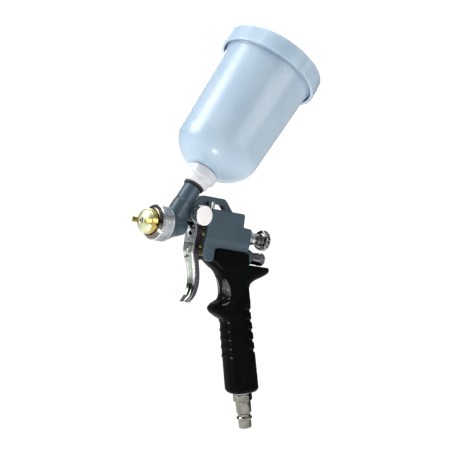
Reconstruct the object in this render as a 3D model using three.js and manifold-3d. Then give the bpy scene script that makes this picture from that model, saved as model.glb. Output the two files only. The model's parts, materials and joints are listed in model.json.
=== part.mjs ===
// Gravity-feed HVLP spray gun. Millimetres, +Z up.
//
// Gun axes: X runs from the nozzle (negative) to the rear (positive), Y from the gun's left side
// (negative) to its right, Z up. The model is drawn about the point where the spray axis passes below
// the trigger pivot, and the finished group is moved so that the underside of the hook bar, where a
// gun stand carries the gun, is the origin.

import * as THREE from 'three';
import { mergeVertices } from 'three/addons/utils/BufferGeometryUtils.js';
import Module from 'manifold-3d';

const wasm = await Module();
wasm.setup();

// ---------------------------------------------------------------- driving dimensions

const GAP = 0.3; // clearance between pieces that touch or run in each other

// segments round a turned piece: the widest pieces, the usual ones, and thin stems and bores
const WIDE = 32;
const FINE = 20;
const SLIM = 12;

// spray head, radii about the spray axis and places along it
const BARREL = { flangeRadius: 14.3, front: -28.4, rear: -7.5, rearRadius: 6.6 };
const NOSE = { radius: 12.9, front: -37 };
const RING = { radius: 15.35, front: -43.4, knurlFront: -39.7, lipRadius: 12.4, mouthRadius: 11.2 };
const CAP = { radius: 10.8, flangeFront: -41, domeStart: -48.3, domeFront: -53.2, hole: 2.0 };
const HORN = { tip: -56.2, inner: 5.6, outer: 9.6, width: 4.6 };
const NOZZLE = { tip: -54.2, tipRadius: 1.5, bore: 2.0 };

// trigger pivot, and the fan valve whose sleeve is the trigger's left bearing
const PIVOT_Z = 12.3;
const BEARING_RADIUS = 4.2;
const BRIDGE_HALF = 5.2; // half width of the body between the trigger's cheeks
const TRIGGER = { web: 2, wall: 1.5, half: 7, earRadius: 6.4, slotHalf: 2.1, slotBottom: -5.5 };
const FAN_KNOB = { radius: 8.65, inner: -11.2, outer: -17.5, slots: 18 };
const FAN_SLEEVE = { flangeRadius: 6.2, flangeInner: -7.3, flangeOuter: -10.4, bore: 3.0 };

// needle line, on the spray axis
const NEEDLE = { radius: 1.6, shoulder: 30, shoulderRadius: 3.2, tail: 66 };
const COLLAR = { front: 2.8, length: 3.4, radius: 3.5 };
const NEEDLE_BORE = 1.9;
const SPRING_BORE = { radius: 5.2, front: 27 };
const FLUID_BUSH = { front: 56, flange: 61.5, flangeRear: 65.5, rear: 71, radius: 5.6, bore: 4.1 };
const FLUID_KNOB = { neck: 75, front: 80.7, rear: 86.6, radius: 9.2, stemFront: 62.5, flutes: 12 };

// air valve line, below the needle
const VALVE_Z = -17;
const VALVE = { stemRadius: 1.6, stemFront: 3.25, stemRear: 46, chamber: 5.0, chamberFront: 36 };
const REGULATOR = { shankFront: 60, shoulder: 72.2, rim: 81.3, rear: 86, radius: 5.5, rimRadius: 5.8 };

// body casting
const BLOCK = { half: 11, front: 10.6, top: 19.8, step: 8.2, stepX: 51.2, rear: 61.4, bottom: -13.2 };
const LOBE = { rear: 24, bottom: -26 };
const CHANNEL = { half: 7.6, floor: 17.5, footFloor: 22.4 };
const HOOK = { half: 3, top: 30.1, barBottom: 24.3, windowFront: 15, windowRear: 34.2 };
const HOOK_POINT = { x: 20, z: HOOK.barBottom };
const BOSS = { radius: 7.7, rear: 71.5 };
const PASSAGE = { radius: 3.1, top: 5.9, flutes: 9, hole: 2, depth: 5.3 };

// neck and paint cup, along the cup's leaning axis
const CUP_LEAN = THREE.MathUtils.degToRad(29.2);
const CUP_AXIS_X = -23.45; // where the cup's axis meets the spray axis
const NECK = { radius: 8, footRadius: 8.6, top: 40, spigotRadius: 5.9, spigotTop: 53, bore: 4.2 };
const SEAL = { radius: 9.1, bottom: 40.3, top: 42.2 };
const NUT = { collarRadius: 11, bottom: 42.5, hexBottom: 49.5, top: 58.3, acrossFlats: 25, bore: 6.2 };
const CUP = {
  bottom: 58.6, shoulder: 86.5, rim: 181.2, lowRadius: 37.7, highRadius: 41, wall: 2,
  domeHeight: 30, beadRadius: 42.6,
};
const OUTLET = { bore: 5.4, radius: 7.9, bottom: 54.5 };
const LID = {
  bottom: 169.2, top: 185.9, radius: 46.1, wall: 2,
  grips: 6, firstGrip: THREE.MathUtils.degToRad(2), gripRadius: 46.8,
};

// handle, its soft cover and the air inlet, along the handle's leaning axis
const HANDLE_LEAN = THREE.MathUtils.degToRad(18);
const HANDLE_FOOT = { x: 87.2, z: -136.2 }; // middle of the grip's lower end
const GRIP = { depth: 31, half: 11.5, shell: 2.6, footTilt: THREE.MathUtils.degToRad(11) };
const PLUG = {
  across: 15, body: 6.9, waist: 5.7, ridge: 7, tipRadius: 5.9, bore: 3.2,
  hexTop: 0.6, hexFoot: 7.6, bodyFoot: 18.4, grooveFoot: 22.1, ridgeFoot: 24.3, tip: 32.2,
};

// ---------------------------------------------------------------- axes

const UP = new THREE.Vector3(0, 0, 1);
const REARWARD = new THREE.Vector3(1, 0, 0);
const SIDEWAYS = new THREE.Vector3(0, 1, 0);
const CUP_UP = new THREE.Vector3(Math.sin(CUP_LEAN), 0, Math.cos(CUP_LEAN));
const HANDLE_DOWN = new THREE.Vector3(Math.sin(HANDLE_LEAN), 0, -Math.cos(HANDLE_LEAN));

const sprayAxis = { origin: new THREE.Vector3(0, 0, 0), direction: REARWARD };
const valveAxis = { origin: new THREE.Vector3(0, 0, VALVE_Z), direction: REARWARD };
const pivotAxis = { origin: new THREE.Vector3(0, 0, PIVOT_Z), direction: SIDEWAYS };
const cupAxis = { origin: new THREE.Vector3(CUP_AXIS_X, 0, 0), direction: CUP_UP };
const plugAxis = { origin: new THREE.Vector3(14.4, -6.3, BLOCK.top), direction: UP };
const handleAxis = { origin: new THREE.Vector3(HANDLE_FOOT.x, 0, HANDLE_FOOT.z), direction: HANDLE_DOWN };

// ---------------------------------------------------------------- solids

// A closed geometry as a manifold, with its faces turned outward.
function solid(geometry) {
  const bare = geometry.clone();
  bare.deleteAttribute('normal');
  bare.deleteAttribute('uv');
  const merged = mergeVertices(bare, 1e-4);
  const points = merged.attributes.position.array;
  const corners = [];
  let volume = 0;
  for (let i = 0; i < merged.index.count; i += 3) {
    const [a, b, c] = [0, 1, 2].map((k) => merged.index.getX(i + k));
    if (a === b || b === c || c === a) continue;
    corners.push(a, b, c);
    const [p, q, r] = [a, b, c].map((v) => new THREE.Vector3().fromArray(points, 3 * v));
    volume += p.dot(q.cross(r));
  }
  if (volume < 0) {
    for (let i = 0; i < corners.length; i += 3) {
      [corners[i], corners[i + 1]] = [corners[i + 1], corners[i]];
    }
  }
  const mesh = new wasm.Mesh({
    numProp: 3,
    vertProperties: Float32Array.from(points),
    triVerts: Uint32Array.from(corners),
  });
  return new wasm.Manifold(mesh);
}

function union(...solids) {
  return solids.reduce((whole, next) => whole.add(next));
}

function cut(body, ...tools) {
  return tools.reduce((rest, tool) => rest.subtract(tool), body);
}

// Puts a geometry drawn along +Y onto an axis.
function ontoAxis(geometry, axis) {
  geometry.applyQuaternion(new THREE.Quaternion().setFromUnitVectors(SIDEWAYS, axis.direction));
  geometry.translate(axis.origin.x, axis.origin.y, axis.origin.z);
  return geometry;
}

// A turned piece: its profile is a list of [radius, place along the axis].
function turned(axis, profile, segments = FINE) {
  const outline = profile.map(([radius, along]) => new THREE.Vector2(radius, along));
  return solid(ontoAxis(new THREE.LatheGeometry(outline, segments), axis));
}

function rod(axis, radius, from, to, segments = FINE) {
  return turned(axis, [[0, from], [radius, from], [radius, to], [0, to]], segments);
}

function tube(axis, outer, inner, from, to, segments = FINE) {
  return turned(axis, [[inner, from], [outer, from], [outer, to], [inner, to], [inner, from]], segments);
}

// A prism along an axis, its section a list of [x, y] points or a Shape.
function prism(axis, section, from, to, bevel = 0) {
  const shape = section instanceof THREE.Shape ? section : polygon(section);
  const geometry = new THREE.ExtrudeGeometry(shape, {
    depth: to - from - 2 * bevel,
    bevelEnabled: bevel > 0,
    bevelThickness: bevel,
    bevelSize: bevel,
    bevelOffset: -bevel,
    bevelSegments: 1,
    curveSegments: 3,
  });
  geometry.translate(0, 0, from + bevel);
  geometry.rotateX(-Math.PI / 2);
  return solid(ontoAxis(geometry, axis));
}

function polygon(points) {
  return new THREE.Shape(points.map(([x, y]) => new THREE.Vector2(x, y)));
}

// A polygon whose corners [x, y, radius] are rounded off.
function roundedPolygon(points) {
  const shape = new THREE.Shape();
  const corner = points.map(([x, y]) => new THREE.Vector2(x, y));
  points.forEach(([, , radius = 0], i) => {
    const here = corner[i];
    const before = corner[(i + points.length - 1) % points.length];
    const after = corner[(i + 1) % points.length];
    const start = here.clone().add(before.clone().sub(here).setLength(radius));
    const end = here.clone().add(after.clone().sub(here).setLength(radius));
    if (i === 0) shape.moveTo(start.x, start.y);
    else shape.lineTo(start.x, start.y);
    if (radius > 0) shape.quadraticCurveTo(here.x, here.y, end.x, end.y);
  });
  shape.closePath();
  return shape;
}

// A plate standing in the gun's middle plane: outline of [x, z, corner radius], thickness along Y.
function plate(outline, low, high, bevel = 0) {
  const shape = roundedPolygon(outline);
  const geometry = new THREE.ExtrudeGeometry(shape, {
    depth: high - low - 2 * bevel,
    bevelEnabled: bevel > 0,
    bevelThickness: bevel,
    bevelSize: bevel,
    bevelOffset: -bevel,
    bevelSegments: 1,
    curveSegments: 3,
  });
  geometry.rotateX(Math.PI / 2);
  geometry.translate(0, high - bevel, 0);
  return solid(geometry);
}

function box(x0, x1, y0, y1, z0, z1) {
  const geometry = new THREE.BoxGeometry(x1 - x0, y1 - y0, z1 - z0);
  geometry.translate((x0 + x1) / 2, (y0 + y1) / 2, (z0 + z1) / 2);
  return solid(geometry);
}

// A skin through closed loops of equal length, closed by a fan at each end.
function loft(loops) {
  const count = loops[0].length;
  const centre = (loop) => loop.reduce((sum, p) => sum.add(p), new THREE.Vector3()).divideScalar(count);
  const points = [...loops.flat(), centre(loops[0]), centre(loops.at(-1))];
  const first = loops.length * count;
  const index = [];
  for (let i = 0; i < count; i += 1) {
    const j = (i + 1) % count;
    for (let level = 0; level + 1 < loops.length; level += 1) {
      const low = level * count;
      const high = low + count;
      index.push(low + i, low + j, high + j, low + i, high + j, high + i);
    }
    index.push(first, j, i, first + 1, first - count + i, first - count + j);
  }
  const geometry = new THREE.BufferGeometry().setFromPoints(points);
  geometry.setIndex(index);
  return solid(geometry);
}

// ---------------------------------------------------------------- materials and nodes

const finish = (color, roughness, metalness, extra = {}) => ({ color, roughness, metalness, ...extra });
const FINISH = {
  paint: finish(0x3e545e, 0.45, 0.2),
  grip: finish(0x0b0c0d, 0.6, 0),
  chrome: finish(0xd9dad8, 0.18, 1),
  steel: finish(0x9a9c9d, 0.35, 1),
  brass: finish(0xc9a64b, 0.3, 1),
  cup: finish(0xc3d6e2, 0.35, 0, { transparent: true, opacity: 0.75 }),
  whitePlastic: finish(0xe9e7ea, 0.4, 0),
  seal: finish(0x0c0d0f, 0.7, 0),
};

const sprayGun = new THREE.Group();
sprayGun.position.set(-HOOK_POINT.x, 0, -HOOK_POINT.z);

function node(name, look, shape) {
  const { vertProperties, triVerts } = shape.getMesh();
  const geometry = new THREE.BufferGeometry();
  geometry.setAttribute('position', new THREE.BufferAttribute(vertProperties, 3));
  geometry.setIndex(new THREE.BufferAttribute(triVerts, 1));
  geometry.computeVertexNormals();
  const mesh = new THREE.Mesh(geometry, new THREE.MeshStandardMaterial(FINISH[look]));
  mesh.name = name;
  sprayGun.add(mesh);
}

// ---------------------------------------------------------------- shared outlines

function hexagon(acrossFlats) {
  const radius = acrossFlats / Math.sqrt(3);
  return Array.from({ length: 6 }, (_, i) => {
    const angle = (i * Math.PI) / 3;
    return [radius * Math.cos(angle), radius * Math.sin(angle)];
  });
}

// A round knob's outline with evenly spaced shallow flutes.
function flutedOutline(radius, flutes, depth) {
  const perFlute = 4;
  return Array.from({ length: flutes * perFlute }, (_, i) => {
    const angle = (2 * Math.PI * i) / (flutes * perFlute);
    const dip = i % perFlute < perFlute / 2 ? 0 : depth;
    return [(radius - dip) * Math.cos(angle), (radius - dip) * Math.sin(angle)];
  });
}

// A coil spring of round wire along an axis.
class Coil extends THREE.Curve {
  constructor(radius, from, to, turns) {
    super();
    Object.assign(this, { radius, from, to, turns });
  }

  getPoint(t, target = new THREE.Vector3()) {
    const angle = 2 * Math.PI * this.turns * t;
    const along = this.from + (this.to - this.from) * t;
    return target.set(this.radius * Math.cos(angle), along, this.radius * Math.sin(angle));
  }
}

function spring(axis, radius, wire, from, to, turns) {
  const section = new THREE.Shape();
  section.absarc(0, 0, wire, 0, 2 * Math.PI);
  const geometry = new THREE.ExtrudeGeometry(section, {
    steps: turns * 8,
    curveSegments: 3,
    extrudePath: new Coil(radius, from, to, turns),
  });
  return solid(ontoAxis(geometry, axis));
}

// Middle of the handle at a height.
const handleMiddle = (z) => HANDLE_FOOT.x - (z - HANDLE_FOOT.z) * Math.tan(HANDLE_LEAN);

// Cross sections of the grip from the saddle under the body down to its foot:
// height, front, rear, half width, and the tilt of the section about Y.
const straightGrip = (z, tilt = 0) =>
  [z, handleMiddle(z) - GRIP.depth / 2, handleMiddle(z) + GRIP.depth / 2, GRIP.half, tilt];
const GRIP_SECTIONS = [
  [-23.3, 23.8, 93.4, 11.6, 0],
  [-26.5, 24.8, 94.4, 11.8, 0],
  [-29.5, 28.8, 91.4, 11.8, 0],
  [-32.5, 33.6, 85.8, 11.8, 0],
  [-36, 38.2, 78.4, 11.8, 0],
  [-39.5, 41.3, 73.8, 11.7, 0],
  [-43.5, 43.4, 72.8, 11.6, 0],
  [-49, 45, 74.6, 11.5, 0],
  [-55, 45.2, 76.8, 11.5, 0],
  [-58.5, 42, 78, 11.5, 0],
  [-62, 37.6, 79.2, 11.5, 0],
  [-65.4, 35, 80.2, 11.5, 0],
  [-69, 37.4, 81.3, 11.5, 0],
  [-72, 43.8, 82.3, 11.5, 0],
  straightGrip(-75.5),
  straightGrip(-100, GRIP.footTilt / 2),
  straightGrip(-128, GRIP.footTilt),
  straightGrip(-132.5, GRIP.footTilt),
];
const HANDLE_SECTIONS = [
  [-12.8, 22, 59.4, 9, 0],
  [-22, 22, 61, 9, 0],
  [-26, 27, 63, 9, 0],
  [-30, 32, 65.5, 9, 0],
  [-36, 41, 68, 9, 0],
  [-43.5, 46, 69.6, 9, 0],
  [-55, 48, 74, 8.9, 0],
  [-64, 49.6, 77, 8.9, 0],
];

// Loop of points round one grip section, drawn in by an inset.
function gripLoop([z, front, rear, half, tilt], inset = 0, count = 18) {
  const middle = (front + rear) / 2;
  const squareness = 2.5;
  return Array.from({ length: count }, (_, i) => {
    const angle = (2 * Math.PI * i) / count;
    const reach = (value) => Math.sign(value) * Math.abs(value) ** (2 / squareness);
    const x = ((rear - front) / 2 - inset) * reach(Math.cos(angle));
    const y = (half - inset) * reach(Math.sin(angle));
    return new THREE.Vector3(middle + x, y, z + x * Math.tan(tilt));
  });
}

// ---------------------------------------------------------------- gun body

function handleCore(inset) {
  const low = [straightGrip(-76), straightGrip(-100, GRIP.footTilt / 2), straightGrip(-128, GRIP.footTilt)];
  const foot = straightGrip(HANDLE_FOOT.z + 1.5, GRIP.footTilt);
  const loops = [
    ...HANDLE_SECTIONS.map((section) => gripLoop(section, inset)),
    ...[...low, foot].map((section) => gripLoop(section, GRIP.shell + inset)),
  ];
  return loft(loops);
}

const lobeOutline = (grow) => [
  [BLOCK.front - 2 * grow, BLOCK.bottom + 4],
  [LOBE.rear + grow, BLOCK.bottom + 4],
  [LOBE.rear + grow, LOBE.bottom - grow, 5],
  [15 - grow, LOBE.bottom + 0.5 - grow, 2.1],
  [BLOCK.front - 2 * grow, LOBE.bottom + 5.2 - grow, 2.1],
];

function bodyOutside() {
  const barrel = turned(sprayAxis, [
    [0, NOSE.front], [NOSE.radius, NOSE.front], [NOSE.radius, BARREL.front],
    [BARREL.flangeRadius, BARREL.front], [BARREL.flangeRadius, BARREL.front + 1.6],
    [12.3, -23.5], [10.6, -20], [9.5, -16], [BARREL.rearRadius, BARREL.rear], [0, BARREL.rear],
  ], WIDE);
  const neck = turned(cupAxis, [
    [0, 0], [NECK.footRadius, 2], [NECK.footRadius, 21], [8.5, 24], [NECK.radius, 25.5],
    [NECK.radius, NECK.top], [NECK.spigotRadius, NECK.top], [NECK.spigotRadius, NECK.spigotTop],
    [0, NECK.spigotTop],
  ]);
  const bridge = plate([
    [-16, 2], [-7.4, 5.8, 1], [18, 5.8], [18, BLOCK.top], [0, 20.5], [-8, 19],
  ], -BRIDGE_HALF, BRIDGE_HALF, 0.6);
  const block = plate([
    [BLOCK.front, LOBE.bottom + 8], [BLOCK.front, 12, 2.4], [14, BLOCK.top, 2.4],
    [BLOCK.stepX - 0.4, BLOCK.top, 2.4], [BLOCK.stepX, BLOCK.step, 1],
    [BLOCK.rear - 0.4, BLOCK.step - 0.5, 2.4], [BLOCK.rear, BLOCK.bottom, 2.4],
    [LOBE.rear, BLOCK.bottom],
  ], -BLOCK.half, BLOCK.half, 1.4);
  const lobe = plate(lobeOutline(0), -BLOCK.half, BLOCK.half, 1);
  const hook = plate([
    [-4, 17], [-4, 24], [1.4, 25.6, 1], [6.6, HOOK.top, 2.2], [32.6, HOOK.top, 2], [43, BLOCK.top, 2],
    [46, 17],
  ], -HOOK.half, HOOK.half, 0.8);
  const boss = turned(valveAxis, [
    [0, 56], [BOSS.radius, 56], [BOSS.radius, BOSS.rear - 3.2], [BOSS.radius - 0.8, BOSS.rear - 1.2],
    [BOSS.radius - 2, BOSS.rear], [0, BOSS.rear],
  ]);
  return union(barrel, neck, bridge, block, lobe, hook, boss, handleCore(0));
}

// What the trigger sweeps: side pockets beside the bridge and a channel in the block's front.
function triggerSpace() {
  const channel = plate([
    [0, 5.5], [CHANNEL.floor, 5.5], [CHANNEL.floor, -14], [CHANNEL.footFloor, -27], [0, -27],
  ], -CHANNEL.half, CHANNEL.half);
  const pocket = (side) => {
    const [low, high] = side < 0 ? [-CHANNEL.half, -BRIDGE_HALF] : [BRIDGE_HALF, CHANNEL.half];
    return plate([[0, 2], [CHANNEL.floor - 3, 2], [CHANNEL.floor - 3, 11.6], [0, 11.6]], low, high);
  };
  return union(channel, pocket(-1), pocket(1));
}

function gunBody() {
  const hookWindow = plate([
    [HOOK.windowFront, BLOCK.top], [HOOK.windowRear, BLOCK.top],
    [HOOK.windowRear - 4.6, HOOK.barBottom, 1.2], [HOOK.windowFront, HOOK.barBottom, 1.6],
  ], -HOOK.half - 1, HOOK.half + 1);
  const needleBore = union(
    rod(sprayAxis, 7, NOSE.front - 1, NOSE.front + 9),
    rod(sprayAxis, NEEDLE_BORE + 1.3, NOSE.front + 8, -17),
    rod(sprayAxis, 3.3, -17.3, BARREL.rear + 1),
    rod(sprayAxis, NEEDLE_BORE, CHANNEL.floor - 1, SPRING_BORE.front + 1),
    rod(sprayAxis, 3.6, CHANNEL.floor - 1, 22.3),
    rod(sprayAxis, SPRING_BORE.radius, SPRING_BORE.front, BLOCK.rear + 1),
    rod(sprayAxis, 6.2, FLUID_BUSH.front - GAP, BLOCK.rear + 1),
  );
  const valvePad = rod(valveAxis, 5.2, CHANNEL.floor, CHANNEL.floor + 8);
  const valveBore = union(
    rod(valveAxis, 3.7, CHANNEL.floor - 1, 25.3),
    rod(valveAxis, 2.4, 25, VALVE.chamberFront + 1),
    rod(valveAxis, VALVE.chamber, VALVE.chamberFront, BOSS.rear + 1),
  );
  const paintBore = rod(cupAxis, NECK.bore, 0, NECK.spigotTop + 1);
  const fanBore = rod(pivotAxis, BEARING_RADIUS + GAP, -BRIDGE_HALF - 1, BRIDGE_HALF + 1);
  const airBore = union(
    rod(handleAxis, 4.6, -118, 0),
    rod(handleAxis, 7.2, -12.3, 4),
    rod(handleAxis, 8.3, -3, 4),
  );
  const plugHole = rod(plugAxis, PASSAGE.hole, -PASSAGE.depth, 1, SLIM);
  const shell = cut(bodyOutside(), hookWindow, triggerSpace()).add(valvePad);
  return cut(shell, needleBore, valveBore, paintBore, fanBore, airBore, plugHole);
}

// small knurled plug that closes the air passage, beside the hook
const passagePlug = union(
  prism(plugAxis, flutedOutline(PASSAGE.radius, PASSAGE.flutes, 0.3), GAP, PASSAGE.top, 0.3),
  rod(plugAxis, PASSAGE.hole - GAP, GAP - PASSAGE.depth, 1, SLIM),
);

// ---------------------------------------------------------------- spray head

const nozzle = cut(
  union(
    prism(sprayAxis, hexagon(14), -41.2, NOSE.front - GAP, 0.4),
    rod(sprayAxis, 6.7, NOSE.front - 1, NOSE.front + 7.5),
    turned(sprayAxis, [
      [0, NOZZLE.tip], [NOZZLE.tipRadius, NOZZLE.tip], [NOZZLE.tipRadius, -51], [3.6, -48], [6.2, -41],
      [0, -41],
    ]),
  ),
  turned(sprayAxis, [
    [0, NOZZLE.tip - 1], [1, NOZZLE.tip - 1], [1, -50.8], [NOZZLE.bore, -46.8],
    [NOZZLE.bore, -44], [3.2, -40], [3.2, NOSE.front + 9], [0, NOSE.front + 9],
  ]),
);

const capSealRing = tube(sprayAxis, NOSE.radius, 11.2, NOSE.front - 2.3, NOSE.front - GAP, WIDE);

// air cap: flange under the ring, domed face and two horns left and right
function airCap() {
  const body = turned(sprayAxis, [
    [9, -39.6], [NOSE.radius - 0.1, -39.6], [NOSE.radius - 0.1, CAP.flangeFront],
    [CAP.radius, CAP.flangeFront], [CAP.radius, CAP.domeStart], [10.1, -49.8], [7.4, -51.6],
    [4.2, CAP.domeFront], [CAP.hole, CAP.domeFront], [CAP.hole, -51.6], [4.6, -51], [9, -46.5], [9, -39.6],
  ], WIDE);
  const horn = (side) => cut(
    plate([
      [-47, -HORN.width / 2], [HORN.tip, -HORN.width / 2, 0.8], [HORN.tip, HORN.width / 2, 0.8],
      [-47, HORN.width / 2],
    ], ...(side < 0 ? [-HORN.outer, -HORN.inner] : [HORN.inner, HORN.outer])),
    box(-60, -50, side < 0 ? -8.1 : HORN.inner - 1, side < 0 ? -HORN.inner + 1 : 8.1, -4, 4),
  );
  const hollow = turned(sprayAxis, [[0, -39], [8.9, -39], [8.9, -46.5], [4.5, -50.9], [0, -50.9]], WIDE);
  const hornBase = (side) => cut(
    plate([[-47, -3.2], [-54, -HORN.width / 2, 0.6], [-54, HORN.width / 2, 0.6], [-47, 3.2]],
      ...(side < 0 ? [-HORN.outer, -HORN.inner - 1] : [HORN.inner + 1, HORN.outer])),
    hollow,
  );
  return union(body, cut(horn(-1), hollow), cut(horn(1), hollow), hornBase(-1), hornBase(1));
}

const capRing = turned(sprayAxis, [
  [NOSE.radius + GAP, BARREL.front - GAP], [RING.radius - 0.5, BARREL.front - GAP],
  [RING.radius, BARREL.front - 0.9], [RING.radius, RING.knurlFront],
  [RING.radius - 0.6, RING.knurlFront - 0.5],
  [RING.lipRadius, RING.front], [RING.mouthRadius, RING.front], [RING.mouthRadius, CAP.flangeFront - GAP],
  [NOSE.radius + GAP, CAP.flangeFront - GAP], [NOSE.radius + GAP, BARREL.front - GAP],
], WIDE);

// ---------------------------------------------------------------- needle line

const needle = turned(sprayAxis, [
  [0, NOZZLE.tip - 0.2], [0.55, NOZZLE.tip + 0.4], [0.6, -51], [NEEDLE.radius, -46.5],
  [NEEDLE.radius, NEEDLE.shoulder],
  [NEEDLE.shoulderRadius, NEEDLE.shoulder], [NEEDLE.shoulderRadius, NEEDLE.shoulder + 2.4],
  [NEEDLE.radius, NEEDLE.shoulder + 2.4], [NEEDLE.radius, NEEDLE.tail], [0, NEEDLE.tail],
], SLIM);
const needleCollar = tube(
  sprayAxis, COLLAR.radius, NEEDLE_BORE, COLLAR.front, COLLAR.front + COLLAR.length, SLIM,
);
const needlePacking = tube(sprayAxis, 3, NEEDLE_BORE, -17, -14.3, SLIM);
const packingNut = cut(
  union(
    prism(sprayAxis, hexagon(8.4), BARREL.rear + GAP, -3, 0.3),
    rod(sprayAxis, 3, -14, BARREL.rear + 1, SLIM),
  ),
  rod(sprayAxis, NEEDLE_BORE, -15, 0, SLIM),
);
const rearGuide = cut(
  union(
    rod(sprayAxis, 3.3, CHANNEL.floor - 1, 22, SLIM),
    rod(sprayAxis, 4.4, 15.6, CHANNEL.floor - GAP, SLIM),
  ),
  rod(sprayAxis, NEEDLE_BORE, 15, 23, SLIM),
);
const needleSpring = spring(sprayAxis, 3.05, 0.45, NEEDLE.shoulder + 3.3, 58.6, 6);
const springGuide = tube(sprayAxis, 3.7, 2, 59.5, 62.2, SLIM);

const fluidBush = cut(
  union(
    rod(sprayAxis, 5.9, FLUID_BUSH.front, FLUID_BUSH.flange + 1),
    prism(sprayAxis, hexagon(13), FLUID_BUSH.flange, FLUID_BUSH.flangeRear, 0.5),
    rod(sprayAxis, FLUID_BUSH.radius, FLUID_BUSH.flangeRear - 1, FLUID_BUSH.rear),
  ),
  rod(sprayAxis, FLUID_BUSH.bore, FLUID_BUSH.front - 1, FLUID_BUSH.rear + 1),
);
const fluidKnob = cut(
  union(
    prism(sprayAxis, flutedOutline(FLUID_KNOB.radius, FLUID_KNOB.flutes, 0.7), FLUID_KNOB.front,
      FLUID_KNOB.rear, 0.6),
    rod(sprayAxis, 5.2, FLUID_KNOB.neck, FLUID_KNOB.front + 1),
    rod(sprayAxis, 3.8, FLUID_KNOB.stemFront, FLUID_KNOB.front),
  ),
  rod(sprayAxis, 2, FLUID_KNOB.stemFront - 1, NEEDLE.tail + 4.3, SLIM),
);

// ---------------------------------------------------------------- air valve line

const valveStem = rod(valveAxis, VALVE.stemRadius, VALVE.stemFront, VALVE.stemRear, SLIM);
const valvePackingNut = cut(
  union(
    prism(valveAxis, hexagon(9), 14.3, CHANNEL.floor - GAP, 0.3),
    rod(valveAxis, 3.4, CHANNEL.floor - 1, 22.5, SLIM),
  ),
  rod(valveAxis, NEEDLE_BORE, 13, 23, SLIM),
);
const valvePacking = tube(valveAxis, 3.4, NEEDLE_BORE, 22.8, 25, SLIM);
const valveSeat = tube(valveAxis, 4.7, 2.7, VALVE.chamberFront + GAP, 38, SLIM);
const valvePoppet = tube(valveAxis, 4.3, NEEDLE_BORE, 38.4, 41.2, SLIM);
const valveSpring = spring(valveAxis, 3.4, 0.5, 42.2, 58.8, 4);
const regulatorKnob = cut(
  union(
    rod(valveAxis, 4.6, REGULATOR.shankFront, REGULATOR.shoulder + 1),
    rod(valveAxis, REGULATOR.radius, REGULATOR.shoulder, REGULATOR.rim),
    prism(valveAxis, flutedOutline(REGULATOR.rimRadius, 14, 0.3), REGULATOR.rim - 0.5, REGULATOR.rear, 0.4),
  ),
  tube(valveAxis, 6, 3.9, 67, 68.6),
  rod(valveAxis, 2.4, REGULATOR.shankFront - 1, 66, SLIM),
);
const regulatorSeal = tube(valveAxis, 4.85, 4.1, 67.3, 68.3);

// ---------------------------------------------------------------- trigger and its bearings

// Trigger sections from the web's top edge to the curled tip: height, front, rear, half width.
const TRIGGER_SECTIONS = [
  [3.5, 0.4, 9.8, 7], [-9, 0.3, 7.4, 7], [-19.5, 0.7, 8.4, 7], [-23, 1.7, 8.9, 6.9], [-27, 3.2, 9.9, 6.7],
  [-31, 4.9, 11.3, 6.4], [-36, 6.5, 13, 6.1], [-41, 7.8, 14.2, 5.8], [-46, 8.3, 14.8, 5.6],
  [-50, 8.1, 14.6, 5.4], [-54, 7.5, 13.8, 5.3], [-57.5, 6.4, 12.4, 5.2], [-60.5, 4.6, 10.3, 5.1],
  [-63.4, 2.4, 7.6, 5],
];

function triggerLoop([z, front, rear, half]) {
  const edge = 1.6;
  const side = [[rear, half], [front + edge, half], [front + 0.45 * edge, half - 0.3 * edge],
    [front, half - edge]];
  const mirrored = side.map(([x, y]) => [x, -y]).reverse();
  return [...side, ...mirrored].map(([x, y]) => new THREE.Vector3(x, y, z));
}

function triggerBlade() {
  const outside = loft(TRIGGER_SECTIONS.map(triggerLoop));
  const inner = TRIGGER_SECTIONS.slice(0, -1).map(([z, front, , half], i) =>
    triggerLoop([i === 0 ? z + 1 : z, front + TRIGGER.web, 30, half - TRIGGER.wall]));
  return cut(outside, loft(inner));
}

function triggerCheek(side) {
  const [low, high] = side < 0 ? [-TRIGGER.half, TRIGGER.wall - TRIGGER.half]
    : [TRIGGER.half - TRIGGER.wall, TRIGGER.half];
  return union(
    rod(pivotAxis, TRIGGER.earRadius, low, high),
    plate([
      [2.6, -7], [0.5, 3, 1], [-5, 9], [0, PIVOT_Z], [6, 13, 1], [10.4, 7.4, 2], [7.8, -7],
    ], low, high),
  );
}

const trigger = cut(
  union(triggerBlade(), triggerCheek(-1), triggerCheek(1)),
  rod(pivotAxis, BEARING_RADIUS + GAP, -10, 10),
  box(-2, 4, -TRIGGER.slotHalf, TRIGGER.slotHalf, TRIGGER.slotBottom, 8),
);

const fanSleeve = cut(
  union(
    rod(pivotAxis, BEARING_RADIUS, FAN_SLEEVE.flangeInner - 1, 1),
    rod(pivotAxis, FAN_SLEEVE.flangeRadius, FAN_SLEEVE.flangeOuter, FAN_SLEEVE.flangeInner),
  ),
  rod(pivotAxis, FAN_SLEEVE.bore, -12, 2),
);
const fanSpindle = cut(
  union(
    turned(pivotAxis, [[0, -0.6], [1.2, -0.6], [2.6, -2.4], [2.6, -11], [0, -11]], SLIM),
    rod(pivotAxis, 2.2, -15.5, -10.5, SLIM),
  ),
  tube(pivotAxis, 4, 1.9, -5, -3.6, SLIM),
);
const fanSpindleSeal = tube(pivotAxis, 2.85, 2.1, -4.75, -3.85, SLIM);
const fanKnob = cut(
  prism(
    pivotAxis, flutedOutline(FAN_KNOB.radius, FAN_KNOB.slots, 0.45), FAN_KNOB.outer, FAN_KNOB.inner, 0.5,
  ),
  rod(pivotAxis, 2.5, -15.8, FAN_KNOB.inner + 1, SLIM),
);
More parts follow.
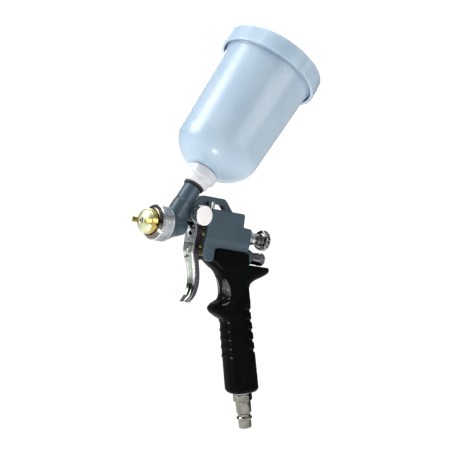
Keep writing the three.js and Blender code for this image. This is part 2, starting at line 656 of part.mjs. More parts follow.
const pivotScrew = cut(
  union(
    rod(pivotAxis, BEARING_RADIUS, 2, TRIGGER.half + 1),
    turned(pivotAxis, [
      [0, TRIGGER.half + GAP], [6, TRIGGER.half + GAP], [6, 8.4], [4.6, 9.4], [2.4, 9.9], [0, 10],
    ]),
  ),
  box(-7, 7, 9, 11, PIVOT_Z - 0.6, PIVOT_Z + 0.6),
);

// ---------------------------------------------------------------- cup

const neckSeal = tube(cupAxis, SEAL.radius, NUT.bore, SEAL.bottom, SEAL.top);
const cupNut = cut(
  union(
    turned(cupAxis, [
      [0, NUT.bottom], [NUT.collarRadius - 0.8, NUT.bottom], [NUT.collarRadius, NUT.bottom + 1.2],
      [NUT.collarRadius + 0.6, NUT.hexBottom + 1], [0, NUT.hexBottom + 1],
    ]),
    prism(cupAxis, hexagon(NUT.acrossFlats), NUT.hexBottom, NUT.top, 0.9),
  ),
  rod(cupAxis, NUT.bore, NUT.bottom - 1, NUT.top + 1),
  rod(cupAxis, 8.2, 54.2, NUT.top + 1),
);

// Half-round end of the cup between its outlet and its straight wall.
function domeProfile(inset, from) {
  const steps = 5;
  const start = Math.asin(from / (CUP.lowRadius - inset));
  return Array.from({ length: steps }, (_, i) => {
    const angle = start + ((Math.PI / 2 - start) * (i + 1)) / steps;
    return [
      (CUP.lowRadius - inset) * Math.sin(angle),
      CUP.shoulder - (CUP.domeHeight - inset) * Math.cos(angle),
    ];
  });
}
const paintCup = turned(cupAxis, [
  [OUTLET.bore, OUTLET.bottom], [OUTLET.radius, OUTLET.bottom], [OUTLET.radius, CUP.bottom],
  [13, CUP.bottom], ...domeProfile(0, 15),
  [CUP.highRadius, LID.bottom], [CUP.beadRadius, LID.bottom + 2], [CUP.beadRadius, LID.bottom + 4],
  [CUP.highRadius + 0.2, LID.bottom + 5.5], [CUP.highRadius + 0.2, CUP.rim],
  [CUP.highRadius - CUP.wall, CUP.rim], [CUP.highRadius - CUP.wall, LID.bottom],
  ...domeProfile(CUP.wall, 15).reverse(), [12, CUP.bottom + 2.2],
  [OUTLET.bore, CUP.bottom + 1], [OUTLET.bore, OUTLET.bottom],
], WIDE);
const strainer = turned(cupAxis, [
  [4.0, 56], [5.1, 56], [5.1, 61], [6.4, 61], [6.4, 62], [5.2, 62], [4.4, 72], [0, 72.6], [0, 71.6],
  [3.6, 71.2], [4.0, 62], [4.0, 56],
], SLIM);

function cupLid() {
  const inner = LID.radius - LID.wall;
  const shell = turned(cupAxis, [
    [0, LID.top - LID.wall], [inner, LID.top - LID.wall], [inner, LID.bottom], [LID.radius, LID.bottom],
    [LID.radius, LID.top - 1], [LID.radius - 1, LID.top], [15, LID.top], [13.5, LID.top + 1],
    [0, LID.top + 1],
  ], WIDE);
  // finger grips: each starts with a step and runs out before the next
  const pitch = (2 * Math.PI) / LID.grips;
  const steps = 4;
  const grips = Array.from({ length: LID.grips }, (_, i) => {
    const arc = Array.from({ length: steps + 1 }, (_unused, k) => {
      const angle = LID.firstGrip + (i + (0.9 * k) / steps) * pitch;
      const radius = LID.gripRadius - ((LID.gripRadius - LID.radius) * k) / steps;
      return [radius, angle];
    });
    const rim = (points) => points.map(([r, a]) => [r * Math.cos(a), r * Math.sin(a)]);
    const inside = arc.map(([, a]) => [LID.radius - 1, a]).reverse();
    return prism(cupAxis, rim([...arc, ...inside]), LID.bottom + 0.6, LID.top - 1.8);
  });
  return cut(union(shell, ...grips), rod(cupAxis, 3.2, LID.top - 3, LID.top + 2, SLIM));
}
const lidGasket = tube(cupAxis, 43, 38, CUP.rim + GAP, LID.top - LID.wall - GAP, WIDE);
const ventPlug = turned(cupAxis, [
  [0, LID.top - 4], [2.9, LID.top - 4], [2.9, LID.top + 1.3], [6, LID.top + 1.3], [6.4, LID.top + 4.6],
  [5.4, LID.top + 5.4], [0, LID.top + 5.4],
], SLIM);

// ---------------------------------------------------------------- grip and air inlet

function gripCover() {
  const foot = (drop, inset) => gripLoop(straightGrip(HANDLE_FOOT.z + drop, GRIP.footTilt), inset);
  const grip = loft([
    ...GRIP_SECTIONS.map((section) => gripLoop(section)),
    foot(2.4, 0.7), foot(0.8, 2.4), foot(0, 4.6),
  ]);
  const saddle = plate([
    [LOBE.rear + GAP, BLOCK.bottom - GAP, 2], [BLOCK.rear + 0.6, BLOCK.bottom - GAP, 2],
    [BLOCK.rear + 2, -25], [58, -31], [36, -31], [LOBE.rear + GAP, -25],
  ], -11.8, 11.8, 1.2);
  return cut(
    union(grip, saddle),
    plate(lobeOutline(GAP), -14, 14),
    handleCore(-GAP),
    loft([gripLoop([-10, 22, 59.4, 9, 0], -GAP), gripLoop([-20, 22, 59.4, 9, 0], -GAP)]),
    rod(valveAxis, BOSS.radius + GAP, 50, 100),
    rod(handleAxis, 8.6, -6, 4),
  );
}

const inletBushing = cut(
  union(rod(handleAxis, 6.9, -12, 0), rod(handleAxis, 8, -2.6, 0.3)),
  rod(handleAxis, 5.4, -13, 2),
);
const inletPlug = cut(
  union(
    rod(handleAxis, 5.1, -8, PLUG.hexTop + 1),
    prism(handleAxis, hexagon(PLUG.across), PLUG.hexTop, PLUG.hexFoot, 0.6),
    turned(handleAxis, [
      [0, PLUG.hexFoot - 1], [PLUG.body, PLUG.hexFoot - 1], [PLUG.body, PLUG.bodyFoot - 0.5],
      [PLUG.waist, PLUG.bodyFoot + 0.6], [PLUG.waist, PLUG.grooveFoot - 1],
      [PLUG.ridge, PLUG.grooveFoot + 0.4], [PLUG.ridge, PLUG.ridgeFoot - 0.7],
      [PLUG.tipRadius, PLUG.ridgeFoot + 0.2], [PLUG.tipRadius, PLUG.tip - 0.6],
      [PLUG.tipRadius - 0.6, PLUG.tip], [0, PLUG.tip],
    ]),
  ),
  rod(handleAxis, PLUG.bore, -9, PLUG.tip + 1, SLIM),
);

// ---------------------------------------------------------------- assembly

node('gun_body', 'paint', gunBody());
node('air_passage_plug', 'chrome', passagePlug);

node('fluid_nozzle', 'steel', nozzle);
node('cap_seal_ring', 'seal', capSealRing);
node('air_cap', 'brass', airCap());
node('air_cap_ring', 'chrome', capRing);

node('fluid_needle', 'steel', needle);
node('needle_collar', 'steel', needleCollar);
node('needle_packing', 'seal', needlePacking);
node('needle_packing_nut', 'chrome', packingNut);
node('needle_rear_guide', 'brass', rearGuide);
node('needle_spring', 'steel', needleSpring);
node('spring_guide', 'brass', springGuide);
node('fluid_knob_bush', 'chrome', fluidBush);
node('fluid_knob', 'chrome', fluidKnob);

node('air_valve_stem', 'steel', valveStem);
node('air_valve_packing_nut', 'brass', valvePackingNut);
node('air_valve_packing', 'seal', valvePacking);
node('air_valve_seat', 'brass', valveSeat);
node('air_valve_poppet', 'seal', valvePoppet);
node('air_valve_spring', 'steel', valveSpring);
node('regulator_seal', 'seal', regulatorSeal);
node('air_regulator_knob', 'chrome', regulatorKnob);

node('trigger', 'chrome', trigger);
node('fan_valve_sleeve', 'steel', fanSleeve);
node('fan_spindle', 'steel', fanSpindle);
node('fan_spindle_seal', 'seal', fanSpindleSeal);
node('fan_knob', 'chrome', fanKnob);
node('pivot_screw', 'chrome', pivotScrew);

node('neck_seal', 'seal', neckSeal);
node('cup_nut', 'whitePlastic', cupNut);
node('paint_cup', 'cup', paintCup);
node('cup_strainer', 'whitePlastic', strainer);
node('lid_gasket', 'seal', lidGasket);
node('cup_lid', 'cup', cupLid());
node('lid_vent_plug', 'whitePlastic', ventPlug);

node('grip_cover', 'grip', gripCover());
node('inlet_bushing', 'steel', inletBushing);
node('air_inlet_plug', 'chrome', inletPlug);

export default sprayGun;
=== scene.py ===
"""Gravity-feed spray gun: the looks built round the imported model, which is the frame.

Lengths inside the shape functions are millimetres. The gun's own axes have their origin on the spray
axis below the trigger pivot: X to the rear, Y to the gun's right, Z up.
"""

import json
import math
from math import cos, hypot, radians, sin

import bmesh
import bpy
import numpy as np
from mathutils import Matrix, Vector


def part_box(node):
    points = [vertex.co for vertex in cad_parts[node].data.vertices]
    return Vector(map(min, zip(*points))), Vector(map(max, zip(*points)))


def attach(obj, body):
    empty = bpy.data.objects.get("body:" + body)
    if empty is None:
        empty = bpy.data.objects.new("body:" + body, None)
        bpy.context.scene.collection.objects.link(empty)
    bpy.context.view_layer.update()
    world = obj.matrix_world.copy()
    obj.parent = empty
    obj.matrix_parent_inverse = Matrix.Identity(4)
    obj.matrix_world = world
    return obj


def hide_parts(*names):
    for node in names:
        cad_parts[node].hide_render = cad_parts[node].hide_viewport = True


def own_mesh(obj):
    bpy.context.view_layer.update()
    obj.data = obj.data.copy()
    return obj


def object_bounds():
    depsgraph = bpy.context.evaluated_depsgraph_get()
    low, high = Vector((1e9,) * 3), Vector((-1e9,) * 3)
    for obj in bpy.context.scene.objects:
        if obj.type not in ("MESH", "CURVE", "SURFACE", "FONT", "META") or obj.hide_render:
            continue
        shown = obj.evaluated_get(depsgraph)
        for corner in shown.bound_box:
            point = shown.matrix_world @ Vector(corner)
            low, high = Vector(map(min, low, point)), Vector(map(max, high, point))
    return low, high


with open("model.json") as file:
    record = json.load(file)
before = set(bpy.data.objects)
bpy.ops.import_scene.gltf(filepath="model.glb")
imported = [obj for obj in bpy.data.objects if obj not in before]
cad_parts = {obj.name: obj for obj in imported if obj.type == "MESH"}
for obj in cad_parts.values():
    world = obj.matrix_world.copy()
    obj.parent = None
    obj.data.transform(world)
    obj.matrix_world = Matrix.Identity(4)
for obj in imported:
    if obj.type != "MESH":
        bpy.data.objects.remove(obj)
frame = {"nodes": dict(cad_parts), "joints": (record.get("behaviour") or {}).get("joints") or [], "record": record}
CAD_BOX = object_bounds()

# ---- the frame's places

MM = 0.001
TAU = 2 * math.pi
RECORD = frame["record"]
JOINTS = {joint["name"]: joint for joint in frame["joints"]}
MOUNTS = {mount["name"]: mount for mount in RECORD["mounts"]}
BODY_OF = {node: body for body, nodes in RECORD["behaviour"]["bodies"].items() for node in nodes}


def middle(node):
    low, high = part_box(node)
    return (low + high) / 2


class Axis:
    """A line through the gun. Local z runs along it, in millimetres, and local x towards side."""

    def __init__(self, origin, direction, side=(0, 1, 0)):
        self.origin = Vector(origin)
        self.direction = Vector(direction).normalized()
        x = Vector(side) - self.direction * self.direction.dot(Vector(side))
        x.normalize()
        y = self.direction.cross(x)
        turn = Matrix((x, y, self.direction)).transposed().to_4x4()
        self.matrix = Matrix.Translation(self.origin) @ turn @ Matrix.Scale(MM, 4)

    def extent(self, node):
        """Lowest and highest place of a CAD node along the axis, and its largest radius about it."""
        inverse = self.matrix.inverted()
        points = np.array([inverse @ v.co for v in frame["nodes"][node].data.vertices])
        radius = np.hypot(points[:, 0], points[:, 1]).max()
        return points[:, 2].min(), points[:, 2].max(), radius


PIVOT = Vector(JOINTS["trigger_pull"]["pos_m"])
GUN = Vector((PIVOT.x, 0, middle("fluid_needle").z))
GUN_SPACE = Matrix.Translation(GUN) @ Matrix.Scale(MM, 4)
PIVOT_Z = (PIVOT.z - GUN.z) / MM
VALVE_Z = (middle("air_valve_stem").z - GUN.z) / MM
CUP_UP = Vector(JOINTS["lid_turn"]["axis"])
HANDLE_DOWN = Vector(MOUNTS["air_inlet"]["axis"])

SPRAY = Axis(GUN, (1, 0, 0))
VALVE = Axis(GUN + Vector((0, 0, VALVE_Z * MM)), (1, 0, 0))
FAN = Axis(PIVOT, (0, 1, 0), side=(0, 0, 1))
LID_PLACE = Vector(JOINTS["lid_turn"]["pos_m"])
CUP = Axis(LID_PLACE - CUP_UP * ((LID_PLACE.z - GUN.z) / CUP_UP.z), CUP_UP)
INLET_FACE = Vector(MOUNTS["air_inlet"]["pos_m"])
PLUG_LENGTH = 32.2
HANDLE = Axis(Vector((INLET_FACE.x, 0, INLET_FACE.z)) - HANDLE_DOWN * PLUG_LENGTH * MM, HANDLE_DOWN)
FOOT = (HANDLE.origin - GUN) / MM
PASSAGE = Axis(middle("air_passage_plug"), (0, 0, 1))

# ---- mesh building


def placed(name, data):
    """A new object in the scene."""
    obj = bpy.data.objects.new(name, data)
    bpy.context.collection.objects.link(obj)
    return obj


def made(name, vertices, faces, matrix):
    mesh = bpy.data.meshes.new(name)
    mesh.from_pydata([tuple(v) for v in vertices], [], faces)
    mesh.transform(matrix)
    work = bmesh.new()
    work.from_mesh(mesh)
    bmesh.ops.recalc_face_normals(work, faces=work.faces)
    work.to_mesh(mesh)
    work.free()
    return placed(name, mesh)


def soften(points, fillet, closed=False, steps=4):
    """Rounds an outline's corners. A point's third value is its own fillet."""
    out = []
    for i, point in enumerate(points):
        here = Vector(point[:2])
        leg = point[2] if len(point) > 2 else fillet
        if leg <= 0 or not (closed or 0 < i < len(points) - 1):
            out.append(tuple(here))
            continue
        before = Vector(points[i - 1][:2]) - here
        after = Vector(points[(i + 1) % len(points)][:2]) - here
        leg = min(leg, 0.48 * before.length, 0.48 * after.length)
        start = here + before.normalized() * leg
        end = here + after.normalized() * leg
        for k in range(steps + 1):
            t = k / steps
            out.append(tuple(start * (1 - t) ** 2 + here * 2 * t * (1 - t) + end * t * t))
    return out


def divided(points, step):
    """An outline with no stretch longer than step."""
    out = [points[0]]
    for a, b in zip(points, points[1:]):
        count = max(1, math.ceil(math.dist(a, b) / step))
        for k in range(1, count + 1):
            t = k / count
            out.append((a[0] + (b[0] - a[0]) * t, a[1] + (b[1] - a[1]) * t))
    return out


def lathe(name, axis, profile, fillet=0.2, segments=96, ripple=None, step=None):
    """A turned piece. Its profile of (radius, place) starts and ends on the axis, or is a closed ring."""
    ring_shape = profile[0][0] > 0
    points = soften(profile, fillet, closed=ring_shape)
    if ring_shape:
        points.append(points[0])
    if step:
        points = divided(points, step)
    if ring_shape:
        points.pop()
    vertices, rings = [], []
    for radius, along in points:
        first = len(vertices)
        count = 1 if radius < 1e-6 else segments
        for k in range(count):
            angle = TAU * k / segments
            reach = radius + (ripple(angle, along, radius) if ripple and count > 1 else 0)
            vertices.append((reach * cos(angle), reach * sin(angle), along))
        rings.append((first, count))
    pairs = list(zip(rings, rings[1:] + rings[:1])) if ring_shape else list(zip(rings, rings[1:]))
    faces = []
    for (a, a_count), (b, b_count) in pairs:
        for k in range(segments):
            j = (k + 1) % segments
            if a_count > 1 and b_count > 1:
                faces.append((a + k, a + j, b + j, b + k))
            elif a_count > 1:
                faces.append((a + k, a + j, b))
            elif b_count > 1:
                faces.append((a, b + j, b + k))
    return made(name, vertices, faces, axis.matrix)


def cylinder(name, axis, radius, low, high, segments=64):
    return lathe(name, axis, [(0, low), (radius, low), (radius, high), (0, high)], 0, segments)


def extruded(name, outline, low, high, matrix, place=lambda x, y, z: (x, y, z)):
    """A straight prism. place turns an outline point and a height into a vertex."""
    count = len(outline)
    vertices = [place(*point, height) for height in (low, high) for point in outline]
    sides = [(k, (k + 1) % count, count + (k + 1) % count, count + k) for k in range(count)]
    faces = [tuple(range(count)), tuple(range(count, 2 * count)), *sides]
    return made(name, vertices, faces, matrix)


def screw_slot(axis, half_x, half_y, low, high):
    """A cutter for a straight slot across the end of a turned piece."""
    outline = [(-half_x, -half_y), (half_x, -half_y), (half_x, half_y), (-half_x, half_y)]
    return extruded("slot", outline, low, high, axis.matrix)


def slab(name, outline, left, right, bevel=0.0):
    """A plate standing in the gun's middle plane: outline of (x, z), thickness from y left to right."""
    points = soften(outline, 0, closed=True, steps=5)
    obj = extruded(name, points, left, right, GUN_SPACE, lambda x, z, y: (x, y, z))
    return bevelled(obj, bevel) if bevel else obj


def bevelled(obj, width, segments=3, angle=35):
    modifier = obj.modifiers.new("bevel", "BEVEL")
    modifier.width = width * MM
    modifier.segments = segments
    modifier.limit_method = "ANGLE"
    modifier.angle_limit = radians(angle)
    modifier.use_clamp_overlap = True
    return settled(obj)


def settled(obj):
    """Makes an object's modifiers part of its mesh."""
    graph = bpy.context.evaluated_depsgraph_get()
    mesh = bpy.data.meshes.new_from_object(obj.evaluated_get(graph), depsgraph=graph)
    obj.modifiers.clear()
    obj.data = mesh
    return obj


def combined(base, operation, *tools):
    for tool in tools:
        modifier = base.modifiers.new("combine", "BOOLEAN")
        modifier.object = tool
        modifier.operation = operation
        modifier.solver = "EXACT"
    settled(base)
    for tool in tools:
        bpy.data.objects.remove(tool)
    return base


def joined(base, *tools):
    return combined(base, "UNION", *tools)


def cut(base, *tools):
    return combined(base, "DIFFERENCE", *tools)


def cast(obj, grain, rounds):
    """Melts an object's edges and joins together, as in a casting or a moulding."""
    remesh = obj.modifiers.new("grain", "REMESH")
    remesh.mode = "VOXEL"
    remesh.voxel_size = grain * MM
    relax = obj.modifiers.new("relax", "SMOOTH")
    relax.factor = 0.5
    relax.iterations = rounds
    return settled(obj)


def nut(name, axis, across, low, high, chamfer=0.8, bore=0.0):
    """A hexagon nut with turned chamfers at both ends."""
    corner = across / math.sqrt(3)
    outline = [(corner * cos(TAU * k / 6), corner * sin(TAU * k / 6)) for k in range(6)]
    body = extruded(name, outline, low, high, axis.matrix)
    face, clear = across / 2 - 0.2, corner + 0.02
    turned = lathe("chamfer", axis, [
        (0, low), (face, low), (clear, low + chamfer), (clear, high - chamfer), (face, high), (0, high),
    ], 0, 72)
    combined(body, "INTERSECT", turned)
    if bore:
        cut(body, cylinder("bore", axis, bore, low - 1, high + 1))
    return bevelled(body, 0.12, 2, 20)


def loft(name, loops, matrix):
    """A skin through loops of equal length, closed at both ends."""
    count = len(loops[0])
    vertices = [point for loop in loops for point in loop]
    faces = []
    for level in range(len(loops) - 1):
        low = level * count
        for k in range(count):
            j = (k + 1) % count
            faces.append((low + k, low + j, low + count + j, low + count + k))
    faces += [tuple(range(count)), tuple(range(len(vertices) - count, len(vertices)))]
    return made(name, vertices, faces, matrix)


def smooth_rows(rows, per_span):
    """Rows of numbers with smooth in-between rows, through every given row."""
    table = np.array(rows, float)
    out = []
    for i in range(len(table) - 1):
        p0, p1, p2, p3 = (table[min(max(i + k, 0), len(table) - 1)] for k in (-1, 0, 1, 2))
        for k in range(per_span):
            t = k / per_span
            out.append(0.5 * (2 * p1 + (p2 - p0) * t + (2 * p0 - 5 * p1 + 4 * p2 - p3) * t ** 2
                              + (3 * p1 - p0 - 3 * p2 + p3) * t ** 3))
    return out + [table[-1]]


def gun_coords(obj):
    """Vertices of an object in the gun's own axes, in millimetres."""
    points = np.empty(len(obj.data.vertices) * 3)
    obj.data.vertices.foreach_get("co", points)
    return (points.reshape(-1, 3) - np.array(GUN)) / MM


def reshaped(obj, points):
    """Gives an object new vertices, in the gun's own axes."""
    obj.data.vertices.foreach_set("co", (points * MM + np.array(GUN)).ravel())
    obj.data.update()
    return obj


def serration(count, depth, beyond, start=-math.inf, end=math.inf):
    """A ripple of round grooves on what lies beyond a radius and between two places along the axis."""
    def ripple(angle, along, r):
        return -depth * (r > beyond and start < along < end) * (0.5 + 0.5 * cos(count * angle))
    return ripple


def rise(value, start, end):
    """0 before start, 1 after end, smooth between."""
    t = np.clip((value - start) / (end - start), 0, 1)
    return t * t * (3 - 2 * t)


# ---- materials


def srgb(red, green, blue):
    def linear(value):
        value /= 255
        return value / 12.92 if value <= 0.04045 else ((value + 0.055) / 1.055) ** 2.4
    return (linear(red), linear(green), linear(blue), 1.0)


class Look:
    """A procedural material under construction."""

    def __init__(self, name, color, roughness, metallic=0.0, **sockets):
        self.material = bpy.data.materials.new(name)
        self.material.use_nodes = True
        self.tree = self.material.node_tree
        self.shader = self.tree.nodes["Principled BSDF"]
        self.fill(self.shader, Base_Color=color, Roughness=roughness, Metallic=metallic, **sockets)
        self.place = self.node("TexCoord", "Object")

    def link(self, output, socket):
        self.tree.links.new(output, socket)

    def fill(self, node, **sockets):
        """Gives a node's inputs their values, or the outputs that feed them."""
        for name, value in sockets.items():
            socket = node.inputs[name.replace("_", " ")]
            if isinstance(value, bpy.types.NodeSocket):
                self.link(value, socket)
            else:
                socket.default_value = value

    def node(self, kind, output, **sockets):
        node = self.tree.nodes.new("ShaderNode" + kind)
        self.fill(node, **sockets)
        return node.outputs[output]

    def noise(self, size, detail, stretch=None):
        """Noise whose lumps are about size millimetres."""
        place = self.node("Mapping", "Vector", Scale=stretch, Vector=self.place) if stretch else self.place
        return self.node("TexNoise", "Fac", Scale=1 / (size * MM), Detail=detail, Vector=place)

    def cells(self, size):
        return self.node("TexVoronoi", "Distance", Scale=1 / (size * MM), Vector=self.place)

    def edges(self):
        return self.node("NewGeometry", "Pointiness")

    def spread(self, value, low, high, start=0.3, end=0.7):
        return self.node(
            "MapRange", "Result", From_Min=start, From_Max=end, To_Min=low, To_Max=high, Value=value)

    def times(self, a, b):
        node = self.tree.nodes.new("ShaderNodeMath")
        node.operation = "MULTIPLY"
        self.link(a, node.inputs[0])
        self.link(b, node.inputs[1])
        return node.outputs[0]

    def blend(self, factor, first, second):
        node = self.tree.nodes.new("ShaderNodeMix")
        node.data_type = "RGBA"
        self.link(factor, node.inputs["Factor"])
        for socket, value in ((node.inputs["A"], first), (node.inputs["B"], second)):
            if isinstance(value, bpy.types.NodeSocket):
                self.link(value, socket)
            else:
                socket.default_value = value
        return node.outputs["Result"]

    def tone(self, size, detail, dark, light, stretch=None):
        """A colour drifting between two."""
        return self.blend(self.spread(self.noise(size, detail, stretch), 0, 1), srgb(*dark), srgb(*light))

    def gloss(self, size, detail, low, high):
        """Roughness drifting between two values."""
        return self.roughness(self.spread(self.noise(size, detail), low, high))

    def relief(self, size, detail, strength, depth):
        return self.bump(self.noise(size, detail), strength, depth)

    def color(self, output):
        self.link(output, self.shader.inputs["Base Color"])
        return self

    def roughness(self, output):
        self.link(output, self.shader.inputs["Roughness"])
        return self

    def bump(self, height, strength, depth):
        """Relief depth millimetres high, on top of any relief already there."""
        before = self.shader.inputs["Normal"]
        below = {"Normal": before.links[0].from_socket} if before.is_linked else {}
        bumped = self.node(
            "Bump", "Normal", Strength=strength, Distance=depth * MM, Height=height, **below)
        self.link(bumped, before)
        return self


def paint():
    look = Look("body_paint", srgb(51, 71, 83), 0.42, 0.25, Coat_Weight=0.25, Coat_Roughness=0.3)
    worn = look.times(look.spread(look.edges(), 0, 0.5, 0.53, 0.6), look.noise(3, 4))
    look.color(look.blend(worn, look.tone(14, 2, (48, 68, 79), (55, 75, 87)), srgb(128, 146, 152)))
    return look.gloss(5, 3, 0.36, 0.48).relief(1.1, 2, 0.25, 0.05).material


def steel():
    look = Look("turned_steel", srgb(168, 170, 172), 0.3, 1.0)
    lines = look.noise(0.8, 4, stretch=(6, 1, 1))
    look.color(look.blend(look.spread(lines, 0, 1), srgb(140, 143, 146), srgb(190, 192, 193)))
    look.roughness(look.spread(lines, 0.22, 0.36))
    return look.bump(lines, 0.2, 0.02).material


def brass():
    look = Look("turned_brass", srgb(214, 178, 92), 0.24, 1.0)
    look.color(look.tone(5, 4, (176, 150, 78), (220, 202, 132)))
    lines = look.noise(0.7, 3, stretch=(6, 1, 1))
    look.roughness(look.spread(lines, 0.16, 0.32))
    return look.bump(lines, 0.15, 0.02).material


def grip_rubber():
    look = Look("grip_rubber", srgb(5, 6, 6), 0.42, Specular_IOR_Level=0.03)
    look.color(look.tone(16, 3, (3, 4, 4), (7, 8, 9)))
    look.gloss(3, 4, 0.34, 0.48)
    return look.bump(look.cells(0.9), 0.4, 0.08).relief(0.3, 2, 0.25, 0.03).material


def cup_plastic():
    look = Look(
        "cup_nylon", srgb(170, 192, 211), 0.3, Subsurface_Weight=0.35, Subsurface_Scale=0.012,
        Subsurface_Radius=(0.7, 0.9, 1.0), Coat_Weight=0.25, Coat_Roughness=0.2,
    )
    look.color(look.tone(30, 2, (163, 187, 208), (176, 196, 213), stretch=(1, 1, 0.35)))
    return look.gloss(7, 3, 0.27, 0.35).relief(2.2, 2, 0.1, 0.05).material


def layered(name, base, roughness, metallic=0.0, *, tone=None, gloss=None, relief, **sockets):
    """A look of noise layers, each given by size and detail, then its two colours, its two roughnesses,
    or its strength and depth.
    """
    look = Look(name, srgb(*base), roughness, metallic, **sockets)
    if tone:
        look.color(look.tone(*tone))
    if gloss:
        look.gloss(*gloss)
    return look.relief(*relief).material


def formed_plate(name, dark, light):
    """Plating over pressed sheet, toned between two colours."""
    return layered(
        name, light, 0.14, 1.0, tone=(8, 3, dark, light), gloss=(5, 4, 0.1, 0.17), relief=(5, 2, 0.08, 0.03))


PAINT, STEEL, BRASS, GRIP, CUP_WALL = paint(), steel(), brass(), grip_rubber(), cup_plastic()
# near-black paint on the faces of the channel and the pockets: painted shade
POCKET_PAINTED_SHADE = layered(
    "pocket_painted_shade", (22, 27, 31), 0.6,
    tone=(5, 3, (17, 21, 24), (28, 34, 39)), relief=(1.1, 2, 0.25, 0.05))
CHROME = layered(
    "chrome_plate", (208, 209, 207), 0.12, 1.0,
    tone=(9, 4, (200, 201, 199), (216, 217, 215)), gloss=(4, 5, 0.07, 0.15), relief=(6, 2, 0.08, 0.03))
SATIN = layered(
    "satin_chrome", (175, 178, 180), 0.3, 1.0,
    tone=(1.4, 4, (150, 154, 157), (196, 200, 202)), gloss=(2, 3, 0.24, 0.38), relief=(0.5, 3, 0.3, 0.03))
# a darker copy of the plating for the ring's front chamfer: painted dark reflection
RING_LIP_PAINTED_DARK_REFLECTION = formed_plate("ring_lip_painted_dark_reflection", (86, 84, 78), (120, 118, 110))
PLATE = formed_plate("plated_sheet", (138, 148, 138), (168, 176, 166))
# a darker copy of the plated sheet for the trigger's sides: painted dark reflection
PLATE_PAINTED_DARK_REFLECTION = formed_plate("plated_sheet_painted_dark_reflection", (84, 82, 88), (112, 110, 116))
PLUG_PLATE = formed_plate("plated_plug", (106, 105, 98), (146, 144, 134))
KNOB_METAL = formed_plate("plated_knob", (104, 104, 107), (146, 146, 148))
CAP_FACE = layered(
    "cap_face", (214, 214, 196), 0.3, 1.0,
    tone=(4, 4, (176, 184, 148), (210, 213, 178)), gloss=(1.5, 3, 0.36, 0.5), relief=(0.4, 3, 0.2, 0.02))
SEAL = layered(
    "seal_rubber", (17, 18, 20), 0.55,
    tone=(6, 3, (13, 14, 16), (26, 27, 29)), gloss=(2, 3, 0.45, 0.65), relief=(0.35, 3, 0.35, 0.05))
POLISHED = layered(
    "grip_polished", (10, 11, 13), 0.16, gloss=(4, 3, 0.13, 0.22), relief=(3, 2, 0.1, 0.05),
    Coat_Weight=0.4, Coat_Roughness=0.08)
# the cup's plastic where the lid's skirt keeps the light from behind it
CUP_SHADE = layered(
    "cup_nylon_shaded", (128, 142, 172), 0.4,
    tone=(12, 2, (122, 136, 166), (136, 150, 178)), relief=(2.2, 2, 0.1, 0.05))
WHITE = layered(
    "white_nylon", (232, 230, 234), 0.38,
    tone=(8, 3, (204, 205, 208), (220, 221, 223)), relief=(0.9, 3, 0.15, 0.04),
    Subsurface_Weight=0.2, Subsurface_Scale=0.004, Subsurface_Radius=(0.9, 0.9, 1.0))
# near-white colour for the fan knob's face: painted reflection of white light
KNOB_FACE_PAINTED_REFLECTION = layered(
    "knob_face_painted_reflection", (246, 242, 240), 0.34, 0.2,
    tone=(3, 3, (241, 236, 234), (250, 247, 245)), relief=(0.5, 3, 0.12, 0.02))


def dressed(obj, node, look, sharp=38):
    """Gives a piece its finish and puts it in the place of a CAD node."""
    obj.data.materials.clear()
    obj.data.materials.append(look)
    obj.data.shade_smooth()
    obj.data.set_sharp_from_angle(angle=radians(sharp))
    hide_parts(node)
    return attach(obj, BODY_OF[node])


def turned_piece(name, axis, node, look, outline, fillet=0.2, segments=96):
    """A turned piece in the place of a CAD node. outline makes its profile from low, high and radius."""
    return dressed(lathe(name, axis, outline(*axis.extent(node)), fillet, segments), node, look)


def painted(obj, look, chosen):
    """A second finish on faces chosen by their middle, in the gun's own axes, and their normal."""
    obj.data.materials.append(look)
    index = len(obj.data.materials) - 1
    for polygon in obj.data.polygons:
        if chosen((polygon.center - GUN) / MM, polygon.normal):
            polygon.material_index = index


def finish_hidden(look, *nodes):
    """CAD pieces sealed inside the gun keep their shape and get a real finish."""
    for node in nodes:
        mesh = frame["nodes"][node].data
        mesh.materials.clear()
        mesh.materials.append(look)


# ---- body casting

BLOCK_HALF = 11.0
BRIDGE_HALF = 5.2
CHANNEL_HALF = 7.6
BLOCK_FRONT = 10.6
BLOCK_TOP = 19.8
HOOK_HALF = 3.0
HOOK_TOP = 30.1
LOBE_OUTLINE = [
    (BLOCK_FRONT, -9.2), (24, -9.2), (24, -26, 5), (15, -25.5, 2.6), (BLOCK_FRONT, -20.8, 2.6),
]


